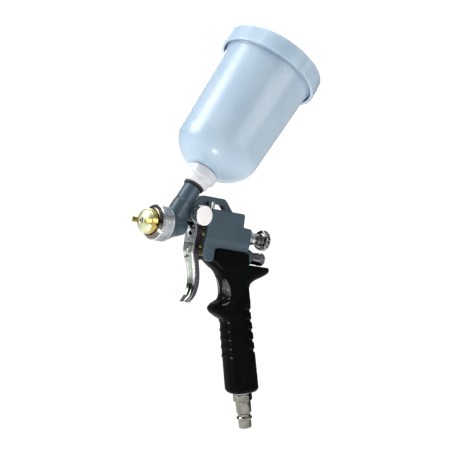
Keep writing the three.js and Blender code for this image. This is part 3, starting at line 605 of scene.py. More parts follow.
def body_shells():
    barrel = lathe("barrel", SPRAY, [
        (0, -37), (12.9, -37), (12.9, -28.4), (14.3, -28.4, 0.5), (14.3, -26.8, 0.8), (12.3, -23.5, 1.5),
        (10.6, -20, 2), (9.5, -16, 2), (6.6, -7.5, 0.8), (0, -7.5),
    ], 0.3, 128)
    neck = lathe("neck", CUP, [
        (0, 0), (8.5, 2), (8.5, 22, 1), (8.3, 24, 0.8), (8, 25, 0.5), (8, 40, 0.5), (5.9, 40), (5.9, 53),
        (0, 53),
    ], 0.3, 96)
    bridge = slab("bridge", [
        (-16, 2), (-7.4, 5.8, 1), (18, 5.8), (18, 19.8), (0, 20.5, 3), (-8, 19, 3),
    ], -BRIDGE_HALF, BRIDGE_HALF, bevel=0.8)
    block = slab("block", [
        (BLOCK_FRONT, -18), (BLOCK_FRONT, 12, 2.4), (14, BLOCK_TOP, 2.4), (50.8, BLOCK_TOP, 2),
        (51.2, 8.2, 1), (61, 7.7, 2), (61.4, -13.2, 2.4), (24, -13.2),
    ], -BLOCK_HALF, BLOCK_HALF, bevel=1.5)
    lobe = slab("lobe", LOBE_OUTLINE, -BLOCK_HALF, BLOCK_HALF, bevel=1.3)
    hook = slab("hook", [
        (-4, 17), (-4, 24), (1.4, 25.6, 2), (6.6, HOOK_TOP, 2.6), (32.6, HOOK_TOP, 2.6),
        (43, BLOCK_TOP, 2.5), (46, 17),
    ], -HOOK_HALF, HOOK_HALF, bevel=1.1)
    boss = lathe("boss", VALVE, [
        (0, 56), (7.7, 56), (7.7, 68.3, 1), (6.9, 70.3, 0.8), (5.7, 71.5, 0.3), (0, 71.5),
    ], 0.3, 72)
    return joined(barrel, neck, bridge, block, lobe, hook, boss)


def in_shaded_pocket(place, _normal):
    """The channel behind the trigger and the rooms beside the bridge, where painted shade goes."""
    across = abs(place.y)
    if across >= CHANNEL_HALF + 0.2:
        return False
    in_channel = -26 < place.z < 5.7 and 4 < place.x < 22.6
    beside_bridge = across > BRIDGE_HALF - 0.2 and 1.8 < place.z < 11.8 and -1 < place.x < 14.7
    return in_channel or beside_bridge


def gun_body():
    body = body_shells()
    window = slab("window", [(15, BLOCK_TOP), (34.2, BLOCK_TOP), (29.6, 24.3, 1.4), (15, 24.3, 1.6)], -4, 4)
    channel = slab("channel", [
        (0, 5.5), (17.5, 5.5, 0.8), (17.5, -14), (22.4, -27), (0, -27),
    ], -CHANNEL_HALF, CHANNEL_HALF)
    pocket = [(0, 2), (14.5, 2), (14.5, 11.6, 1.5), (0, 11.6)]
    left_pocket = slab("left_pocket", pocket, -CHANNEL_HALF, -BRIDGE_HALF)
    right_pocket = slab("right_pocket", pocket, BRIDGE_HALF, CHANNEL_HALF)
    cut(body, window, channel, left_pocket, right_pocket)
    joined(body, cylinder("valve_pad", VALVE, 5.2, 17.5, 25.5))
    cast(body, 0.42, 5)
    points = gun_coords(body)
    on_block = rise(points[:, 0], 8, 11)
    tuck = 1.1 * rise(-points[:, 2], 4.5, 11) * on_block * rise(np.abs(points[:, 1]), 7.9, 9)
    points[:, 1] -= np.sign(points[:, 1]) * tuck
    reshaped(body, points)
    cut(
        body,
        cylinder("nozzle_seat", SPRAY, 7, -38, -28),
        cylinder("paint_way", SPRAY, 3.3, -29, -6),
        cylinder("guide_bore", SPRAY, 3.6, 15, 22.3),
        cylinder("needle_bore", SPRAY, 1.9, 20, 30),
        cylinder("spring_bore", SPRAY, 5.2, 27, 58),
        cylinder("bush_bore", SPRAY, 6.2, 55.7, 64),
        cylinder("packing_bore", VALVE, 3.7, 15, 25.3),
        cylinder("valve_chamber", VALVE, 5.0, 36, 73),
        cylinder("fan_bore", FAN, 4.5, -8.4, 8.4),
        cylinder("paint_bore", CUP, 4.2, 3, 54),
        cylinder("plug_hole", PASSAGE, 2, -8, 3),
    )
    dressed(body, "gun_body", PAINT, 50)
    # painted shade on the faces inside the channel and the pockets
    painted(body, POCKET_PAINTED_SHADE, in_shaded_pocket)


def passage_plug():
    low, high, radius = PASSAGE.extent("air_passage_plug")
    shank, shoulder = 1.7, high - 5.6
    plug = lathe("air_passage_cap", PASSAGE, [
        (0, low), (shank, low), (shank, shoulder), (radius, shoulder, 0.3), (radius, high, 0.5),
        (shank, high, 0.2), (1.5, high - 0.8), (0, high - 0.8),
    ], 0.1, 108, serration(9, 0.3, 2.2), 0.5)
    dressed(plug, "air_passage_plug", SATIN, 60)


# ---- spray head


def air_cap_ring():
    front, rear, radius = SPRAY.extent("air_cap_ring")
    knurl_front, knurl_rear = front + 3.7, rear - 0.9
    mouth, throat = radius - 4.15, radius - 2.15
    teeth = 116

    def knurl(angle, along, r):
        if r < radius - 0.3 or not knurl_front < along < knurl_rear:
            return 0
        lean = (along - front) * 4.2
        turn = teeth / 2 * angle
        return -0.17 * (abs(sin(turn + lean)) + abs(sin(turn - lean)))

    def on_knurl(place, _normal):
        return knurl_front - 0.2 < place.x < rear and hypot(place.y, place.z) > throat + 0.8

    ring = lathe("knurled_cap_ring", SPRAY, [
        (throat, rear), (radius - 0.5, rear, 0.3), (radius, rear - 0.6, 0.3),
        (radius, knurl_front - 0.3, 0.2), (radius - 0.55, knurl_front - 0.5, 0.2),
        (radius - 0.4, knurl_front - 1.1, 0.4), (radius - 2.9, front + 0.15, 0.7),
        (mouth, front, 0.4), (mouth, front + 2.1), (throat, front + 2.1),
    ], 0.2, teeth * 4, knurl, 0.38)
    dressed(ring, "air_cap_ring", CHROME, 60)
    painted(ring, SATIN, on_knurl)
    # the front chamfer darker than the rest of the ring: painted dark reflection
    painted(ring, RING_LIP_PAINTED_DARK_REFLECTION, lambda p, n: p.x < knurl_front - 1.1)


JET_LEAN = 1.0
JET_START = 1.5


def horn(side):
    points = soften([
        (-46, 10.3), (-52, 9.9, 1), (-56.2, 9.3, 0.5), (-56.2, 8.1, 0.4), (-54, 7.0, 0.6), (-51.4, 5.9),
        (-46, 5.9),
    ], 0, closed=True)
    return bevelled(extruded("horn", points, -2.4, 2.4, GUN_SPACE, lambda x, y, z: (x, side * y, z)), 0.45)


def jet_axis(side, along, out):
    """The line of a jet drilled in a horn. It leans towards the spray axis and starts clear of the horn."""
    direction = Vector((-cos(JET_LEAN), -side * sin(JET_LEAN), 0))
    origin = GUN + Vector((along, side * out, 0)) * MM
    return Axis(origin - direction * JET_START * MM, direction, side=(0, 0, 1))


def on_cap_face(place, _normal):
    """The pale front of the cap, without its horns."""
    on_horn = abs(place.z) < 2.45 and abs(place.y) > 5.8
    return place.x < -48.6 and hypot(place.y, place.z) < 10.7 and not on_horn


def air_cap():
    front, face_jets = -53.2, 8
    cap = lathe("horned_air_cap", SPRAY, [
        (9, -39.6), (12.8, -39.6), (12.8, -41), (10.8, -41), (10.8, -48.3, 0.8), (10.1, -49.8, 0.8),
        (7.4, -51.7, 1.2), (4.4, -53.0, 0.5), (3.9, front, 0.2), (2.1, front, 0.15), (2.1, -51.6),
        (4.6, -51), (9, -46.5),
    ], 0.2, 128)
    hollow = lathe("hollow", SPRAY, [(0, -39), (8.9, -39), (8.9, -46.5), (4.5, -50.9), (0, -50.9)], 0, 72)
    joined(cap, horn(-1), horn(1))
    grooves, drills = [], []
    for side in (-1, 1):
        outline = [(x, -side * z) for x, z in ((-54, -2.7), (-41.6, -2.7), (-41.6, -1.2), (-54, -1.2))]
        grooves.append(slab("groove", outline, *sorted((side * 9.5, side * 12))))
        for along, out, bore in ((-54.8, 7.6, 0.55), (-52.7, 6.5, 0.45)):
            drills.append(cylinder("jet", jet_axis(side, along, out), bore, 0, 3, segments=24))
    for k in range(face_jets):
        angle = TAU * (k + 0.5) / face_jets
        spot = GUN + Vector((0, 5.6 * sin(angle), 5.6 * cos(angle))) * MM
        drills.append(cylinder("face_jet", Axis(spot, (1, 0, 0)), 0.42, -53.5, -51.2, segments=20))
    cut(cap, hollow, *grooves, *drills)
    dressed(cap, "air_cap", BRASS, 35)
    painted(cap, CAP_FACE, on_cap_face)


def fluid_nozzle():
    tip, rear, _ = SPRAY.extent("fluid_nozzle")
    nozzle = lathe("nozzle_cone", SPRAY, [
        (0.95, tip, 0.05), (1.5, tip, 0.15), (1.5, tip + 3.2), (3.6, tip + 6.2), (6.2, tip + 13),
        (6.7, tip + 17), (6.7, rear), (2.2, rear), (2.2, tip + 8), (1.0, tip + 3.4),
    ], 0.2, 72)
    joined(nozzle, nut("nozzle_hexagon", SPRAY, 14, tip + 13, tip + 16.9, 0.6, 4.5))
    dressed(nozzle, "fluid_nozzle", STEEL)


# ---- needle and air valve


ROD_RADIUS = 1.6
ROD_BORE = 1.9


def gland_nut(name, axis, node, look, across, hexagon, shank_radius, shank):
    """A packing nut: a hexagon and a round shank, bored for the rod that runs through it."""
    gland = nut(name, axis, across, *hexagon, 0.7, ROD_BORE)
    start, end = shank
    joined(gland, lathe("gland_shank", axis, [
        (ROD_BORE, start), (shank_radius, start), (shank_radius, end), (ROD_BORE, end),
    ], 0.2, 48))
    dressed(gland, node, look)


def needle_line():
    turned_piece("needle", SPRAY, "fluid_needle", STEEL, lambda low, high, radius: [
        (0, low), (0.25, low + 0.1), (0.6, low + 3.4), (ROD_RADIUS, low + 7.9), (ROD_RADIUS, 30), (3.2, 30),
        (3.2, 32.4), (ROD_RADIUS, 32.4), (ROD_RADIUS, high), (0, high),
    ], 0.15, 48)
    low, high, radius = SPRAY.extent("needle_collar")
    collar = lathe("trigger_collar", SPRAY, [
        (ROD_BORE, low), (radius, low), (radius, high), (ROD_BORE, high),
    ], 0.4, 64)
    side_hole = Axis(GUN + Vector((0.5 * (low + high), 0, 0)) * MM, (0, -1, 0), side=(0, 0, 1))
    cut(collar, cylinder("screw_hole", side_hole, 0.8, 2.2, 5, segments=24))
    dressed(collar, "needle_collar", STEEL)
    low, high, _ = SPRAY.extent("needle_packing_nut")
    gland_nut("needle_gland_nut", SPRAY, "needle_packing_nut", CHROME, 8.4, (-7.2, high), 3, (low, -6.5))
    turned_piece("needle_rear_bush", SPRAY, "needle_rear_guide", BRASS, lambda low, high, radius: [
        (ROD_BORE, low), (radius, low, 0.6), (radius, 17.2), (3.3, 17.2), (3.3, high), (ROD_BORE, high),
    ], 0.2, 64)


def knob_bush():
    low, high, _ = SPRAY.extent("fluid_knob_bush")
    pitch = 1.0

    def thread(angle, along, r):
        return 0.22 * sin(TAU * along / pitch - angle) * (along > 66 and r > 5)

    bush = lathe("threaded_bush", SPRAY, [
        (4.1, low), (5.9, low), (5.9, 62), (5.6, 62), (5.6, high, 0.6), (4.1, high),
    ], 0.2, 64, thread, 0.16)
    joined(bush, nut("bush_hexagon", SPRAY, 13, 61.5, 65.5, 0.8, 4.6))
    dressed(bush, "fluid_knob_bush", CHROME)


def fluid_knob():
    stem, rear, radius = SPRAY.extent("fluid_knob")
    bore, collar, head = 2, 75, 80.7
    flutes = 12

    def flute(angle, along, r):
        if along < head + 0.4 or r < radius - 1.2:
            return 0
        return -1.0 * max(0.0, cos(flutes * angle) - 0.15) ** 0.6

    knob = lathe("fluted_fluid_knob", SPRAY, [
        (0, stem + 8), (bore, stem + 8), (bore, stem), (3.8, stem), (3.8, collar), (5.2, collar, 0.4),
        (5.2, head - 0.6, 0.8), (6.4, head, 0.5), (radius - 0.7, head, 0.8), (radius, head + 1, 0.8),
        (radius, rear - 0.9, 0.8), (radius - 1.6, rear, 0.8), (4.4, rear, 0.6), (3.6, rear - 0.7, 0.5),
        (0, rear - 0.9),
    ], 0.2, flutes * 16, flute, 0.5)
    dressed(knob, "fluid_knob", KNOB_METAL, 60)


def air_valve_line():
    turned_piece("valve_stem", VALVE, "air_valve_stem", STEEL, lambda low, high, radius: [
        (0, low), (ROD_RADIUS, low, 0.8), (ROD_RADIUS, high), (0, high),
    ], 0.2, 48)
    low, high, _ = VALVE.extent("air_valve_packing_nut")
    gland_nut("valve_gland_nut", VALVE, "air_valve_packing_nut", BRASS, 9, (low, 17.2), 3.4, (16.5, high))


def regulator_knob():
    low, high, radius = VALVE.extent("air_regulator_knob")
    shoulder, rim = 72.2, 81.3
    waist = radius - 0.9
    knob = lathe("air_regulator_barrel", VALVE, [
        (0, 66), (2.4, 66), (2.4, low), (4.6, low), (4.6, shoulder), (radius - 0.5, shoulder, 0.5),
        (radius - 0.3, rim - 0.9, 0.3), (waist, rim - 0.6, 0.2), (waist, rim - 0.2, 0.2),
        (radius, rim, 0.3), (radius, high - 0.3, 0.7), (radius - 1.6, high, 0.4), (0, high),
    ], 0.2, 216, serration(36, 0.16, 5.2, rim, high - 0.4), 0.6)
    cut(knob, screw_slot(VALVE, 7, 0.5, high - 1, high + 1))
    dressed(knob, "air_regulator_knob", KNOB_METAL, 50)


def coil(name, axis, node, wire, turns):
    """A round-wire spring with closed ends in the place of its CAD solid."""
    low, high, radius = axis.extent(node)
    low, high = low + wire, high - wire
    reach = radius - wire
    around, steps = 12, turns * 48
    vertices, faces = [], []
    for i in range(steps + 1):
        t = i / steps
        eased = rise(t, 0.0, 0.16) * 0.08 + t * 0.84 + rise(t, 0.84, 1.0) * 0.08
        angle = TAU * (turns + 1.5) * t
        centre = Vector((reach * cos(angle), reach * sin(angle), low + (high - low) * eased))
        out = Vector((cos(angle), sin(angle), 0))
        for k in range(around):
            turn = TAU * k / around
            vertices.append(centre + out * wire * cos(turn) + Vector((0, 0, wire * sin(turn))))
    for i in range(steps):
        for k in range(around):
            j = (k + 1) % around
            faces.append((i * around + k, i * around + j, (i + 1) * around + j, (i + 1) * around + k))
    faces += [tuple(range(around)), tuple(range(steps * around, (steps + 1) * around))]
    spring = made(name, vertices, faces, axis.matrix)
    dressed(spring, node, STEEL)
    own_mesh(spring)


# ---- trigger and fan control

# height, front, rear, half width
TRIGGER_ROWS = [
    (3.5, 0.4, 9.8, 7), (-9, 0.3, 7.4, 7), (-19.5, 0.7, 8.4, 7), (-23, 1.7, 8.9, 6.9), (-27, 3.2, 9.9, 6.7),
    (-31, 4.9, 11.3, 6.4), (-36, 6.5, 13, 6.1), (-41, 7.8, 14.2, 5.8), (-46, 8.3, 14.8, 5.6),
    (-50, 8.1, 14.6, 5.4), (-54, 7.5, 13.8, 5.3), (-57.5, 6.4, 12.4, 5.2), (-60.5, 4.6, 10.3, 5.1),
    (-63.4, 2.4, 7.6, 5),
]
TRIGGER_WALL = 1.5
TRIGGER_WEB = 2.0
CHEEK_OUTSIDE = 6.96
CHEEK_INSIDE = 7.06 - TRIGGER_WALL
SOLID_TOE_ROWS = 6


def trigger_section(z, front, rear, half, edge):
    arc = [
        (front + edge * (1 - cos(a)), half - edge + edge * sin(a))
        for a in np.linspace(0, math.pi / 2, 6)
    ]
    side = [(front, y) for y in np.linspace(0, half - edge, 4)[:-1]] + arc + [(rear, half)]
    mirrored = [(x, -y) for x, y in reversed(side[1:])]
    return [(x, y, z) for x, y in side + mirrored]


def trigger_cheek(low, high):
    ear = cylinder("ear", FAN, 6.4, low, high, segments=96)
    plate = slab("cheek", [
        (2.6, -7), (0.5, 3, 1.5), (-5, 9, 1.5), (0, PIVOT_Z), (6, 13, 1), (10.4, 7.4, 3), (7.8, -7),
    ], low, high)
    return joined(ear, plate)


def trigger():
    rows = smooth_rows(TRIGGER_ROWS, 5)
    edges = np.interp([-row[0] for row in rows], (20, 31), (1.5, 3.2))
    sections = [trigger_section(*row, edge) for row, edge in zip(rows, edges)]
    outside = loft("trigger_blade", sections, GUN_SPACE)
    inner = [
        trigger_section(row[0] + (3 if i == 0 else 0), row[1] + TRIGGER_WEB, 30, row[3] - TRIGGER_WALL, 0.9)
        for i, row in enumerate(rows[:-SOLID_TOE_ROWS])
    ]
    cut(outside, loft("inside", inner, GUN_SPACE))
    joined(outside, trigger_cheek(-CHEEK_OUTSIDE, -CHEEK_INSIDE), trigger_cheek(CHEEK_INSIDE, CHEEK_OUTSIDE))
    cut(outside, slab("slot", [(-2, -5.5), (4, -5.5), (4, 8), (-2, 8)], -2.1, 2.1))
    cast(outside, 0.3, 6)
    points = gun_coords(outside)
    x, y, z = points.T
    upward = rows[::-1]
    front = np.interp(z, [row[0] for row in upward], [row[1] for row in upward])
    on_face = 1 - rise(x - front, 0.5, 1.4)
    groove_width = (1 - rise(-y, 0.8, 2.2)) * (1 - rise(y, 4.6, 5.8))
    dip = 1.2 * np.exp(-(((z + 22.4) / 1.5) ** 2))
    ridge = 0.5 * np.exp(-(((z + 25.4) / 1.4) ** 2))
    groove = (dip - ridge) * groove_width
    fork = rise(z, -20, -10) * 3.6
    scoop = (1 - rise(np.abs(y), fork, fork + 1.4)) * rise(z, -20, -17) * 0.7
    palm = rise(-z, 24, 30) * (1 - rise(-z, 56, 60)) * 0.8 * np.exp(-((y / 3.0) ** 4))
    points[:, 0] += on_face * (groove + scoop + palm)
    reshaped(outside, points)
    cut(outside, cylinder("ear_bore", FAN, 4.5, -10, 10))
    dressed(outside, "trigger", PLATE, 60)
    painted(outside, SATIN, lambda p, n: p.z > -12)
    # the trigger's sides darker than its front: painted dark reflection
    painted(outside, PLATE_PAINTED_DARK_REFLECTION, lambda p, n: p.z < 5.5 and abs(n.y) > 0.85)
    # a bright strip along the trigger's rounded front edges: painted highlight
    painted(outside, CHROME, lambda p, n: p.z < -14 and 0.3 < abs(n.y) <= 0.85 and n.x < 0)


def fan_control():
    low, high, radius = FAN.extent("fan_knob")
    slots = 18

    def slot(angle, along, r):
        near_rim = r > radius - 0.9 and low + 0.8 < along
        return -0.9 * (cos(slots * angle) > 0.35) * near_rim

    knob = lathe("fan_control_knob", FAN, [
        (0, low + 1.6), (2.5, low + 1.6), (2.5, high), (radius - 1.4, high, 0.4), (radius, high - 1, 0.4),
        (radius, low + 0.5, 0.45), (radius - 0.5, low, 0.4), (0, low),
    ], 0.15, slots * 20, slot, 0.7)
    dressed(knob, "fan_knob", CHROME, 50)
    # the knob's flat face painted near white: painted reflection
    painted(knob, KNOB_FACE_PAINTED_REFLECTION, lambda p, n: p.y < low + 0.35)
    turned_piece("fan_bearing_sleeve", FAN, "fan_valve_sleeve", STEEL, lambda low, high, radius: [
        (3, low), (radius, low, 0.3), (radius, -7.3, 0.3), (4.2, -7.3), (4.2, high), (3, high),
    ])
    turned_piece("fan_needle", FAN, "fan_spindle", STEEL, lambda low, high, radius: [
        (0, low), (2.2, low), (2.2, -11), (2.6, -11), (2.6, -5), (1.9, -5), (1.9, -3.6), (2.6, -3.6),
        (2.6, -2.4), (1.2, high), (0, high),
    ], 0.12, 64)


def pivot_screw():
    low, high, radius = FAN.extent("pivot_screw")
    screw = lathe("slotted_pivot_screw", FAN, [
        (0, low), (4.2, low, 0.4), (4.2, 7.3), (radius, 7.3, 0.3), (radius, 8.4, 0.3), (4.6, 9.4, 1),
        (2.4, 9.9, 1), (0, high),
    ], 0.2, 96)
    cut(screw, screw_slot(FAN, 0.6, 8, 9, 11))
    dressed(screw, "pivot_screw", CHROME)


# ---- cup


def cup_joint():
    bore = 6.2
    turned_piece("neck_gasket", CUP, "neck_seal", SEAL, lambda low, high, radius: [
        (bore, low), (radius, low, 0.7), (radius + 0.15, (low + high) / 2, 0.6), (radius, high, 0.7),
        (bore, high),
    ])
    low, high, _ = CUP.extent("cup_nut")
    collar = 11.0
    nut_low = low + 7
    body = lathe("cup_nut_collar", CUP, [
        (bore, low, 0.2), (collar - 1.3, low, 0.9), (collar, low + 1.6, 1), (collar + 0.5, nut_low, 0.8),
        (collar + 0.5, nut_low + 1), (bore, nut_low + 1),
    ], 0.3, 96)
    joined(body, nut("cup_nut_hexagon", CUP, 25, nut_low, high, 1.6, bore))
    cut(body, cylinder("seat", CUP, 8.2, 54.2, high + 1))
    cast(body, 0.28, 6)
    dressed(body, "cup_nut", WHITE, 55)


def dome(radius, shoulder, height):
    """Half-round end of the cup from near its outlet out to its straight wall."""
    start, steps = 15, 22
    first = math.asin(start / radius)
    out = []
    for k in range(1, steps + 1):
        angle = first + (math.pi / 2 - first) * k / steps
        out.append((radius * sin(angle), shoulder - height * cos(angle), 0))
    return out


def paint_cup():
    outlet, rim, bead = CUP.extent("paint_cup")
    bottom, shoulder, wall = outlet + 4.1, outlet + 32, 2.0
    low_radius, high_radius = bead - 4.9, bead - 1.6
    inside = high_radius - wall
    skirt = CUP.extent("cup_lid")[0]
    cup = lathe("cup_bowl", CUP, [
        (5.4, outlet), (7.9, outlet), (7.9, bottom, 0.8), (13, bottom, 2), *dome(low_radius, shoulder, 30),
        (high_radius, skirt, 0.5), (bead, skirt + 2, 0.5), (bead, skirt + 4, 0.5),
        (high_radius + 0.2, skirt + 5.5), (high_radius + 0.2, rim, 0.4), (inside, rim, 0.4),
        (inside, skirt), *reversed(dome(low_radius - wall, shoulder, 28)),
        (12, bottom + 2.2, 1), (5.4, bottom + 1),
    ], 0.3, 160)
    dressed(cup, "paint_cup", CUP_WALL, 60)


def strainer():
    low, high, radius = CUP.extent("cup_strainer")
    basket = lathe("cup_filter", CUP, [
        (4, low), (5.1, low), (5.1, low + 5), (radius, low + 5), (radius, low + 6), (5.2, low + 6),
        (4.4, high - 0.6), (0, high), (0, high - 1), (3.6, high - 1.4), (4, low + 6),
    ], 0.15, 72)
    drills = []
    for k in range(8):
        angle = TAU * (k + 0.5) / 16
        across = CUP.matrix.to_3x3() @ Vector((cos(angle), sin(angle), 0))
        for row in range(3):
            spot = CUP.origin + CUP_UP * (low + 8 + 2.6 * row) * MM
            drills.append(cylinder("mesh_hole", Axis(spot, across, CUP_UP), 0.55, -7, 7, segments=12))
    cut(basket, *drills)
    dressed(basket, "cup_strainer", WHITE)


def cup_lid():
    low, top, lug_radius = CUP.extent("cup_lid")
    grip_height, wall = 1.3, 2.0
    radius = lug_radius - grip_height
    face = top - 1
    grips, first_grip, ramp = 6, radians(123), 0.94

    def ratchet(angle, along, r):
        """Finger grips round the rim: each starts with a ramp and runs out before the next."""
        if r < radius - 0.4:
            return 0
        run = ((angle - first_grip) * grips / TAU) % 1
        height = 1 - run / ramp if run < ramp else (run - ramp) / (1 - ramp)
        return grip_height * height * (1 - rise(along, face - 1.6, face - 0.6))

    lid = lathe("screw_lid", CUP, [
        (0, face - wall), (radius - wall, face - wall, 0.6), (radius - wall, low, 0.4), (radius, low, 0.5),
        (radius - 0.1, face - 1.4, 1), (radius - 1.4, face, 1), (15, face, 1), (13.5, top, 0.8), (0, top),
    ], 0.3, 240, ratchet, 0.7)
    cut(lid, cylinder("vent_hole", CUP, 3.2, face - 4, top + 1))
    dressed(lid, "cup_lid", CUP_WALL, 50)
    lid_space = CUP.matrix.inverted()

    def under_skirt(place, _normal):
        local = lid_space @ (GUN + place * MM)
        return hypot(local.x, local.y) < radius - wall + 0.2 and local.z < face - wall - 0.2

    painted(lid, CUP_SHADE, under_skirt)


def vent_plug():
    low, high, radius = CUP.extent("lid_vent_plug")
    shank, head = 2.9, high - 4.1
    plug = lathe("drip_check_cap", CUP, [
        (0, low), (shank, low, 0.4), (shank, head), (radius - 0.4, head, 0.5), (radius, high - 0.9, 0.6),
        (radius - 1.1, high, 0.6), (2, high, 0.5), (1.6, high - 0.5, 0.3), (0, high - 0.5),
    ], 0.2, 96, serration(24, 0.15, 5.6), 0.6)
    dressed(plug, "lid_vent_plug", WHITE)


# ---- grip and air inlet

GRIP_DEPTH = 31.0
GRIP_HALF = 11.5
FOOT_TILT = radians(11)
SADDLE_HALF = 11.8
SCOOP_ANGLE, SCOOP_HEIGHT = 150, -50
# a degree round the grip is about this many millimetres at the studs
STUD_DEGREE = 0.22
STUD_ANGLE, STUD_TOP, STUD_PITCH, STUD_LAST = 147, -76.1, 7.6, 4
NOTCH_TOP, NOTCH_PITCH, NOTCHES = -63, 8.6, 5
RIB_TOP, RIB_PITCH, RIBS = -90, 7.7, 3
HANDLE_LEAN = math.atan2(HANDLE_DOWN.x, -HANDLE_DOWN.z)
# height, front, rear, half width, tilt
GRIP_ROWS = [
    (-23.3, 23.8, 93.4, 11.6, 0), (-26.5, 24.8, 94.4, 11.8, 0), (-29.5, 28.8, 91.4, 11.8, 0),
    (-32.5, 33.6, 85.8, 11.8, 0), (-36, 38.2, 78.4, 11.8, 0), (-39.5, 41.3, 73.8, 11.7, 0),
    (-43.5, 43.4, 72.8, 11.6, 0), (-49, 45, 74.6, 11.5, 0), (-55, 45.2, 76.8, 11.5, 0),
    (-58.5, 42, 78, 11.5, 0), (-62, 37.6, 79.2, 11.5, 0), (-65.4, 35, 80.2, 11.5, 0),
    (-69, 37.4, 81.3, 11.5, 0), (-72, 43.8, 82.3, 11.5, 0),
]


def grip_middle(z):
    return FOOT.x - (z - FOOT.z) * math.tan(HANDLE_LEAN)


def straight_row(z, tilt, inset=0.0):
    centre = grip_middle(z)
    reach = GRIP_DEPTH / 2 - inset
    return (z, centre - reach, centre + reach, GRIP_HALF - inset, tilt)


def grip_loop(z, front, rear, half, tilt):
    centre = (front + rear) / 2
    count = 72
    loop = []
    for k in range(count):
        angle = TAU * k / count
        c, s = cos(angle), sin(angle)
        x = (rear - front) / 2 * math.copysign(abs(c) ** 0.8, c)
        loop.append((centre + x, half * math.copysign(abs(s) ** 0.8, s), z + x * math.tan(tilt)))
    return loop


def grip_shell():
    rows = GRIP_ROWS + [
        straight_row(-75.5, 0), straight_row(-84, FOOT_TILT / 6), straight_row(-100, FOOT_TILT / 2),
        straight_row(-114, FOOT_TILT * 0.75), straight_row(-128, FOOT_TILT),
        straight_row(FOOT.z + 3.7, FOOT_TILT),
    ]
    loops = [grip_loop(*row) for row in smooth_rows(rows, 4)]
    ends = [(2.4, 0.7), (1.5, 1.5), (0.8, 2.4), (0.3, 3.4), (0, 4.6)]
    loops += [grip_loop(*straight_row(FOOT.z + drop, FOOT_TILT, inset)) for drop, inset in ends]
    shell = loft("grip_shell", loops, GUN_SPACE)
    saddle = slab("saddle", [
        (24.3, -13.5, 2.4), (62, -13.5, 2.4), (63.4, -25), (58, -31), (36, -31), (24.3, -24),
    ], -SADDLE_HALF, SADDLE_HALF, bevel=1.6)
    return joined(shell, saddle)


def lobe_room():
    grown = [(8, -8), (24.3, -8), (24.3, -26.3, 5), (15, -25.8, 2.1), (8, -20)]
    return slab("lobe_room", grown, -14, 14)


def scoop_reach(around, z):
    """0 at the middle of the finger scoop, 1 at its edge."""
    return np.hypot((around - SCOOP_ANGLE) / 21, (z - SCOOP_HEIGHT) / 12)


def stud_reach(around, z):
    """Distance in millimetres from the nearest of the studs on each front corner."""
    row = np.clip(np.round((STUD_TOP - z) / STUD_PITCH), 0, STUD_LAST)
    return np.hypot((around - STUD_ANGLE) * STUD_DEGREE, z - STUD_TOP + row * STUD_PITCH)


def shines(place, _normal):
    along = (place.x - grip_middle(place.z)) / (GRIP_DEPTH / 2)
    around = math.degrees(math.atan2(abs(place.y) / GRIP_HALF, along))
    return scoop_reach(around, place.z) < 0.95 or stud_reach(around, place.z) < 0.9


def grip_cover():
    grip = grip_shell()
    cut(grip, lobe_room(), cylinder("boss_room", VALVE, 8.0, 50, 100))
    cast(grip, 0.5, 4)
    points = gun_coords(grip)
    x, y, z = points.T
    along = x - grip_middle(z)
    outward = np.stack([along / (GRIP_DEPTH / 2), y / GRIP_HALF, np.zeros(len(x))], 1)
    outward /= np.maximum(np.linalg.norm(outward, axis=1), 1e-6)[:, None]
    around = np.degrees(np.arctan2(np.abs(y) / GRIP_HALF, along / (GRIP_DEPTH / 2)))
    # scooped rest for a finger on each front corner, with a crisp edge towards the side
    reach = scoop_reach(around, z)
    push = -1.3 * (1 - rise(reach, 0.55, 1.0)) + 0.3 * np.exp(-(((reach - 1.06) / 0.1) ** 2))
    # notches across the back below the palm swell, and ribs across the front
    back = 1 - rise(around, 66, 82)
    for k in range(NOTCHES):
        push -= 1.2 * np.exp(-(((z - NOTCH_TOP + k * NOTCH_PITCH) / 1.4) ** 4)) * back
    front = rise(around, 140, 160)
    for k in range(RIBS):
        push += 0.6 * np.exp(-(((z - RIB_TOP + k * RIB_PITCH) / 1.3) ** 2)) * front
    # a column of small studs on each front corner
    push += 0.6 * np.exp(-((stud_reach(around, z) / 1.1) ** 4))
    points += outward * push[:, None]
    reshaped(grip, points)
    cut(grip, cylinder("bushing_room", HANDLE, 8.6, -6, 6), cylinder("valve_room", VALVE, 6, 30, 52))
    dressed(grip, "grip_cover", GRIP, 55)
    painted(grip, POLISHED, shines)


def air_inlet():
    turned_piece("inlet_bush", HANDLE, "inlet_bushing", STEEL, lambda low, high, radius: [
        (5.4, low), (6.9, low), (6.9, -2.6), (radius, -2.6), (radius, high, 0.5), (5.4, high),
    ])
    low, high, _ = HANDLE.extent("air_inlet_plug")
    bore = 3.2
    plug = lathe("quick_release_nipple", HANDLE, [
        (bore, low), (5.1, low), (5.1, 1), (6.6, 1), (6.6, 7, 0.2), (6.9, 7.8, 0.3), (6.9, 17.9, 0.5),
        (5.7, 19, 0.5), (5.7, 21.1, 0.5), (7, 22.5, 0.4), (7, 23.6, 0.4), (5.9, 24.5, 0.4),
        (5.9, high - 0.6, 0.5), (5.3, high, 0.3), (bore, high, 0.3),
    ], 0.2, 96)
    joined(plug, nut("plug_hexagon", HANDLE, 15, 0.6, 7.6, 1.0, 4))
    dressed(plug, "air_inlet_plug", PLUG_PLATE)


# ---- assembly

